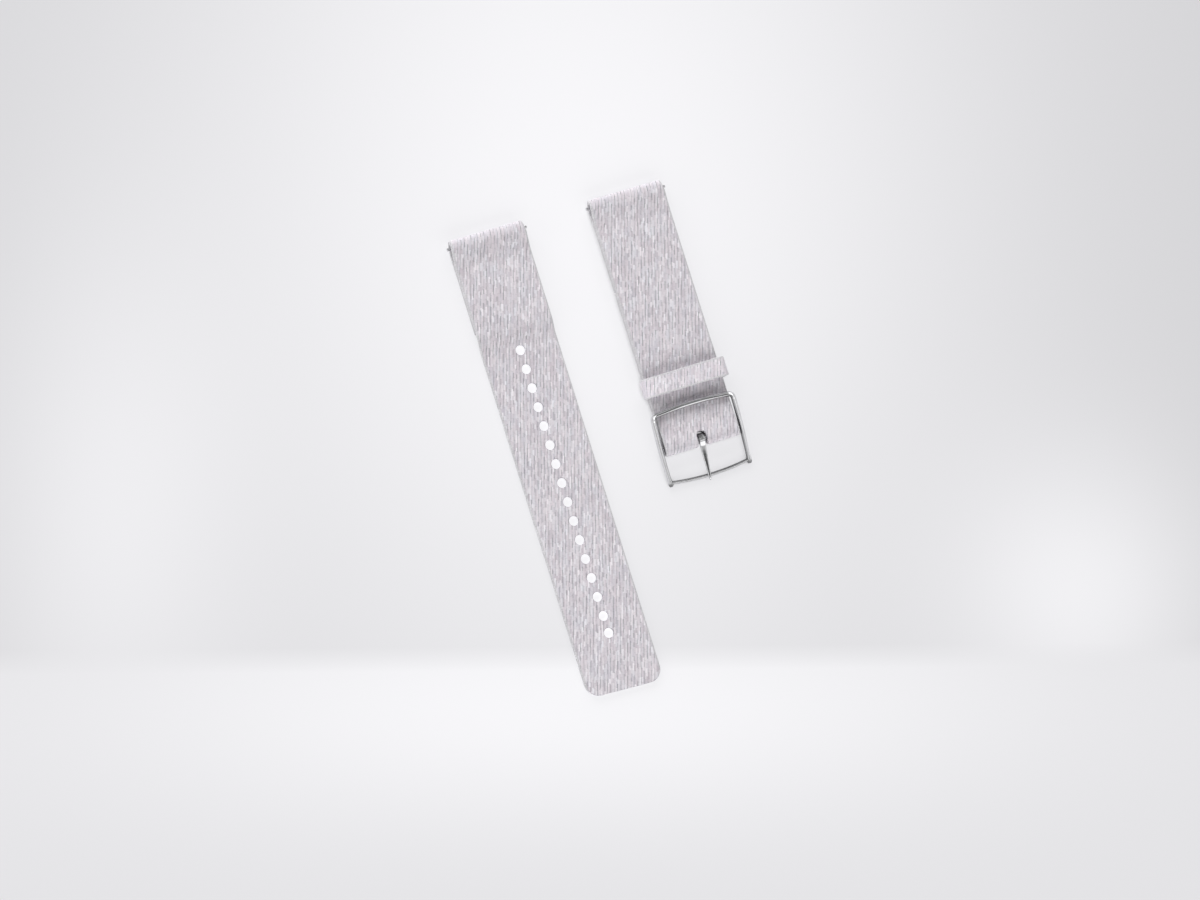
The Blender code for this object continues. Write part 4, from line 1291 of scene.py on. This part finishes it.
def make_tang():
    """Skin the tang's rings. The part inside the slot is rougher and painted darker, as painted
    shade.
    """
    line = tang_line()
    blade_start, tip = EYE_STEPS + 1, len(line) - 1
    sections = []
    for k in range(len(line)):
        share = max(k - blade_start, 0) / (tip - blade_start)
        width = (TANG_WIDTH - TANG_NARROWING * ease(share)) / 2 * MM
        thick = (TANG_THICKNESS - TANG_THINNING * share) / 2 * MM
        left = (tip - k) / ROUND_TIP_STEPS
        if left < 1:
            round_off = math.sqrt(max(1 - (1 - left) ** 2, LEAST_TIP))
            width, thick = width * round_off, thick * round_off
        sections.append(rounded_section(width, thick, TANG_ROUNDING, steps=4))
    mesh = skin("tang_tongue", rings_along(line, sections, lambda y, z, side: (side, y, z)))
    y = vertex_places(mesh)[:, 1] / MM
    store_dullness_and_shade(mesh, np.interp(y, DULL_AND_SHADED_EYE_Y, (0.0, DULL_AND_SHADED_EYE)))
    shear = Matrix.Identity(4)
    shear[0][1] = math.tan(TANG_PLAY)
    mesh.transform(shear)
    seat_at_buckle(mesh, 0.0)
    return show_hard(mesh, polished_steel, "tang", "buckle_tang")


make_tang()

# %% [markdown]
# ## The bars' springs
# Inside each bar's tube a coil of thin wire pushes the pins outwards. It is a small circle
# swept along a helix, in the box that the engineering model gives it. A Screw modifier could
# make it, but the rings are at hand. A coil gets shorter when a pin slides in; each one is
# made from the end that stays to the end that its pin moves. The buckle's bar has a pin at
# both ends, so its coil is made as two halves.

# %% Coils
WIRE_RADIUS = 0.1 * MM
WIRE_SIDES = 12
STEPS_PER_TURN = 24


def coil(name, node, stays, moves, turns):
    """A helix about X, in its node's box, from the end that stays to the end that moves."""
    low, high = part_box(node)
    radius = (high[1] - low[1]) / 2 - WIRE_RADIUS
    middle = Vector((0, (low[1] + high[1]) / 2, (low[2] + high[2]) / 2))
    climb = abs(moves - stays) / (turns * math.tau)
    rings = []
    for step in range(turns * STEPS_PER_TURN + 1):
        turn = math.copysign(math.tau * step / STEPS_PER_TURN, moves - stays)
        radial = Vector((0, math.cos(turn), math.sin(turn)))
        along = Vector((climb, -radius * math.sin(turn), radius * math.cos(turn))).normalized()
        beside = along.cross(radial)
        centre = middle + radial * radius + Vector((stays + climb * turn, 0, 0))
        rings.append([centre + (radial * math.cos(t) + beside * math.sin(t)) * WIRE_RADIUS
                      for t in (math.tau * k / WIRE_SIDES for k in range(WIRE_SIDES))])
    return skin(name, rings)


# %% Springs
BAR_TURNS = 10
BUCKLE_TURNS = 5


def make_spring(name, body, node, stays, moves, turns):
    """A coil from the end that stays to the end that moves, shown on its body."""
    mesh = coil(name, node, stays, moves, turns)
    piece = show_hard(mesh, spring_wire, body, node)
    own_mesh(piece)


for half in ("long", "short"):
    node = half + "_bar_spring"
    low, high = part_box(node)
    make_spring(half + "_coil", half + "_half", node,
                high[0] - WIRE_RADIUS, low[0] + WIRE_RADIUS, BAR_TURNS)
low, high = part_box("buckle_bar_spring")
for side, end in (("left", low[0] + WIRE_RADIUS), ("right", high[0] - WIRE_RADIUS)):
    make_spring("buckle_coil_" + side, "short_half", "buckle_bar_spring",
                SHORT_X, end,
                BUCKLE_TURNS)

# %% [markdown]
# ## The floor
# A bright paper ground comes out in a photograph as an almost plain pale colour with little
# shadow. It could be lit to white, but then the strap would be too bright. So the camera
# sees the floor mostly as a glowing paper of its own colour, mixed with a little of the
# real, shaded one. Soft oval pools of light and a lighter band below give it the levels of a
# studio. The small spots that show through the holes are brighter, and the gap under the
# buckle is darker, and both are found by how closely something covers the floor.

# %% Levels of the paper
PICTURE_RIGHT = (0.93, -0.298)
PICTURE_UP = (0.282, 0.954)
WALL_LEVEL = 211.6
WALL_POOLS = [(36.4, -11, 61, 111, 157), (16.7, -129, -22, 33, 70), (23.6, 118, -39, 34, 36)]
TABLE_LEVEL = 227.2
TABLE_POOLS = [(20.6, -13, -66, 122, 33)]
BAND_TOP = -52 * MM
BAND_BOTTOM = -58 * MM
PAPER_PLACES = (0.0, 0.2, 0.4, 0.6, 0.8, 0.95)


def in_direction(tree, x, y, direction):
    """How far a point lies along a direction on the floor."""
    return sum_up(tree, "MULTIPLY_ADD", x, direction[0],
                  sum_up(tree, "MULTIPLY", y, direction[1]))


def sum_pools(tree, over, up, level, pools):
    """A level with soft oval pools of light: (more light, across, up, and the two reaches)."""
    for strength, middle, height, wide, tall in pools:
        x = sum_up(tree, "DIVIDE", sum_up(tree, "SUBTRACT", over, middle * MM), wide * MM)
        y = sum_up(tree, "DIVIDE", sum_up(tree, "SUBTRACT", up, height * MM), tall * MM)
        far = sum_up(tree, "MULTIPLY_ADD", x, x, sum_up(tree, "MULTIPLY", y, y))
        bell = sum_up(tree, "EXPONENT", sum_up(tree, "MULTIPLY", far, -1.0))
        level = sum_up(tree, "MULTIPLY_ADD", bell, strength, level)
    return level


def paper_and_pools_colour(tree, x, y):
    """The paper's colour at a place with painted pools of light and a lighter band, from 200 to
    255.
    """
    over, up = in_direction(tree, x, y, PICTURE_RIGHT), in_direction(tree, x, y, PICTURE_UP)
    wall = sum_pools(tree, over, up, WALL_LEVEL, WALL_POOLS)
    table = sum_pools(tree, over, up, TABLE_LEVEL, TABLE_POOLS)
    level = blend_numbers(tree, between(tree, up, BAND_TOP, BAND_BOTTOM), wall, table)
    return tone_ramp(tree, between(tree, level, 200, 255), [
        (place, rgb(200 + 55 * place, 199.5 + 55 * place, 202 + 55 * place))
        for place in PAPER_PLACES])


# %% Where the floor is covered closely
CREVICE_REACH = 1.6 * MM
CREVICE_SAMPLES = 4
HOLES_MIDDLE_Y = -8 * MM
HOLES_HALF_LENGTH = 38 * MM
HOLES_NEAR = 3 * MM
HOLES_FAR = 8 * MM
HOLE_LIGHT = (0.3, 0.5)
HOLE_LIGHT_Y = (-15 * MM, -45 * MM)
DEEP_SHADE = 0.35
DEEP_X = (2 * MM, 5 * MM)


def hole_light(tree, x, y, openness):
    """Extra light under the row of holes, where the cloth lies on the floor."""
    near = sum_up(tree, "ABSOLUTE", sum_up(tree, "SUBTRACT", x, LONG_X))
    ends = sum_up(tree, "ABSOLUTE", sum_up(tree, "SUBTRACT", y, HOLES_MIDDLE_Y))
    near = sum_up(tree, "MAXIMUM", near, sum_up(tree, "SUBTRACT", ends, HOLES_HALF_LENGTH))
    covered = between(tree, openness, 0.6, 0.95, 1.0, 0.0)
    covered = sum_up(
        tree, "MULTIPLY", covered, between(tree, near, HOLES_NEAR, HOLES_FAR, 1.0, 0.0))
    light = between(tree, y, *HOLE_LIGHT_Y, *HOLE_LIGHT)
    return sum_up(tree, "MULTIPLY_ADD", covered, light, 1.0)


def deep_shade(tree, x, openness):
    """Shade in the gap under the short half."""
    deep = between(tree, openness, 0.15, 0.6, DEEP_SHADE, 1.0)
    return blend_numbers(tree, between(tree, x, *DEEP_X), 1.0, deep)


# %% Floor
FLOOR_SIZE = 6000 * MM
FLOOR_DROP = 0.02 * MM
FLOOR_GLOW = 0.8
FLOOR_ROUGHNESS = 0.9
MIRRORED_GLOW = 0.3


def make_floor_finish():
    """Paper that the camera sees mostly as plain colour, and that still takes shadow."""
    finish, tree, shader = new_material("floor_paper")
    shader.inputs["Roughness"].default_value = FLOOR_ROUGHNESS
    place = add_node(tree, "ShaderNodeTexCoord").outputs["Object"]
    x, y, z = add_node(tree, "ShaderNodeSeparateXYZ", Vector=place).outputs
    paper = paper_and_pools_colour(tree, x, y)
    crevice = add_node(tree, "ShaderNodeAmbientOcclusion", Distance=CREVICE_REACH)
    crevice.samples = CREVICE_SAMPLES
    openness = crevice.outputs["AO"]
    strength = sum_up(tree, "MULTIPLY", hole_light(tree, x, y, openness),
                      deep_shade(tree, x, openness))
    glow = add_node(tree, "ShaderNodeEmission", Color=paper, Strength=strength)
    rays = add_node(tree, "ShaderNodeLightPath").outputs
    seen = sum_up(tree, "MAXIMUM", rays["Is Camera Ray"], rays["Is Transmission Ray"])
    seen = sum_up(tree, "MULTIPLY", seen, FLOOR_GLOW)
    share = sum_up(tree, "MULTIPLY_ADD", rays["Is Glossy Ray"], MIRRORED_GLOW, seen)
    fill(tree, shader.inputs["Base Color"], paper)
    mix = add_node(tree, "ShaderNodeMixShader", Fac=share)
    fill(tree, mix.inputs[1], shader.outputs["BSDF"])
    fill(tree, mix.inputs[2], glow.outputs["Emission"])
    fill(tree, tree.nodes["Material Output"].inputs["Surface"], mix.outputs["Shader"])
    return finish


floor_mesh = bpy.data.meshes.new("floor")
reach = FLOOR_SIZE / 2
floor_mesh.from_pydata(
    [(-reach, -reach, 0), (reach, -reach, 0), (reach, reach, 0), (-reach, reach, 0)],
    [], [(0, 1, 2, 3)])
floor_mesh.materials.append(make_floor_finish())
floor = bpy.data.objects.new("floor", floor_mesh)
floor.location.z = -FLOOR_DROP
bpy.context.scene.collection.objects.link(floor)
print("floor is", FLOOR_SIZE, "m wide")

# %% [markdown]
# ## What the steel mirrors
# Steel looks like steel only with something to mirror: bright lamps, a grey room and dark
# gaps. Real cards and lamps round the buckle would do, but they would also light the cloth.
# So the world holds them, and only mirrored rays see them: a base that is bright at the
# floor's edge and overhead, round soft lamps, and one dark gap. To all other rays the world
# is a weak, even light, and to the camera it is the pale colour of the ground.

# %% World
WORLD_LIGHT = 0.08
WORLD_SEEN = (0.86, 0.86, 0.88)
MIRRORED_LOW = (0.0, 0.35, 0.85, 0.26)
MIRRORED_HIGH = (0.6, 0.9, 0.26, 0.50)
MIRRORED_SIDE_START = 0.25
MIRRORED_SIDE = 0.7
MIRRORED_LAMPS = [
    ((0.237, -0.72, 0.65), 20, 1.1), ((0.58, 0.48, 0.66), 16, 1.6), ((-0.5, 0.5, 0.7), 15, 1.0),
    ((-0.06, -0.03, 1.0), 12, 2.6), ((0.5, 0.0, 0.866), 11, 2.6),
    ((0.56, -0.31, 0.77), 12, 0.6), ((-0.08, -0.34, 0.935), 12, 0.5)]
MIRRORED_GAPS = [((0.24, -0.1, 0.966), 11.5, 0.85)]
FULL_SHARE = 0.6


def near_direction(tree, place, direction, reach):
    """1 near a direction, falling to 0 at reach degrees from it."""
    match = add_node(tree, "ShaderNodeVectorMath")
    match.operation = "DOT_PRODUCT"
    fill(tree, match.inputs[0], place)
    fill(tree, match.inputs[1], Vector(direction).normalized())
    return between(tree, match.outputs["Value"], math.cos(math.radians(reach)),
                   math.cos(math.radians(reach * FULL_SHARE)))


def mirrored_room(tree):
    """The brightness that mirrored rays find in each direction."""
    place = add_node(tree, "ShaderNodeTexCoord").outputs["Generated"]
    x, y, z = add_node(tree, "ShaderNodeSeparateXYZ", Vector=place).outputs
    room = sum_up(tree, "MAXIMUM", between(tree, z, *MIRRORED_LOW),
                  between(tree, z, *MIRRORED_HIGH))
    sideways = sum_up(tree, "SUBTRACT", sum_up(tree, "ABSOLUTE", x), MIRRORED_SIDE_START)
    room = sum_up(
        tree, "MULTIPLY_ADD", sum_up(tree, "MAXIMUM", sideways, 0.0), MIRRORED_SIDE, room)
    for direction, reach, strength in MIRRORED_LAMPS:
        lamp = near_direction(tree, place, direction, reach)
        room = sum_up(tree, "MULTIPLY_ADD", lamp, strength, room)
    for direction, reach, strength in MIRRORED_GAPS:
        gap = near_direction(tree, place, direction, reach)
        room = sum_up(tree, "MULTIPLY", room, sum_up(tree, "MULTIPLY_ADD", gap, -strength, 1.0))
    return room


world = bpy.data.worlds.new("studio")
bpy.context.scene.world = world
world.use_nodes = True
tree = world.node_tree
rays = add_node(tree, "ShaderNodeLightPath").outputs
lit = mix_colours(tree, rays["Is Glossy Ray"], [WORLD_LIGHT] * 3, mirrored_room(tree))
seen = mix_colours(tree, rays["Is Camera Ray"], lit, WORLD_SEEN)
fill(tree, tree.nodes["Background"].inputs["Color"], seen)
print("the world has", len(tree.nodes), "nodes")

# %% [markdown]
# ## Lamps
# The light on the strap is even and soft, from three large lamps: one beyond its top, one
# below its tip and a weaker one on the left. So raised parts get a soft shade on both sides.
# Sun lamps would draw hard shadows. The lamps hide from mirrored rays, which have the room.

# %% Soft lamps
LAMP_WIDTH = 1400 * MM
LAMPS = [
    ("softbox_top", (0, 900, 420), 650, 13.4),
    ("softbox_low", (0, -850, 520), 650, 10.2),
    ("softbox_left", (-1000, 0, 380), 500, 4.4)]

for name, place, height, power in LAMPS:
    light = bpy.data.lights.new(name, "AREA")
    light.shape = "RECTANGLE"
    light.size = LAMP_WIDTH
    light.size_y = height * MM
    light.energy = power
    lamp = bpy.data.objects.new(name, light)
    lamp.location = Vector(place) * MM
    lamp.rotation_euler = (-lamp.location).to_track_quat("-Z", "Y").to_euler()
    lamp.visible_glossy = False
    bpy.context.scene.collection.objects.link(lamp)
    print(name, "gives", power, "W")
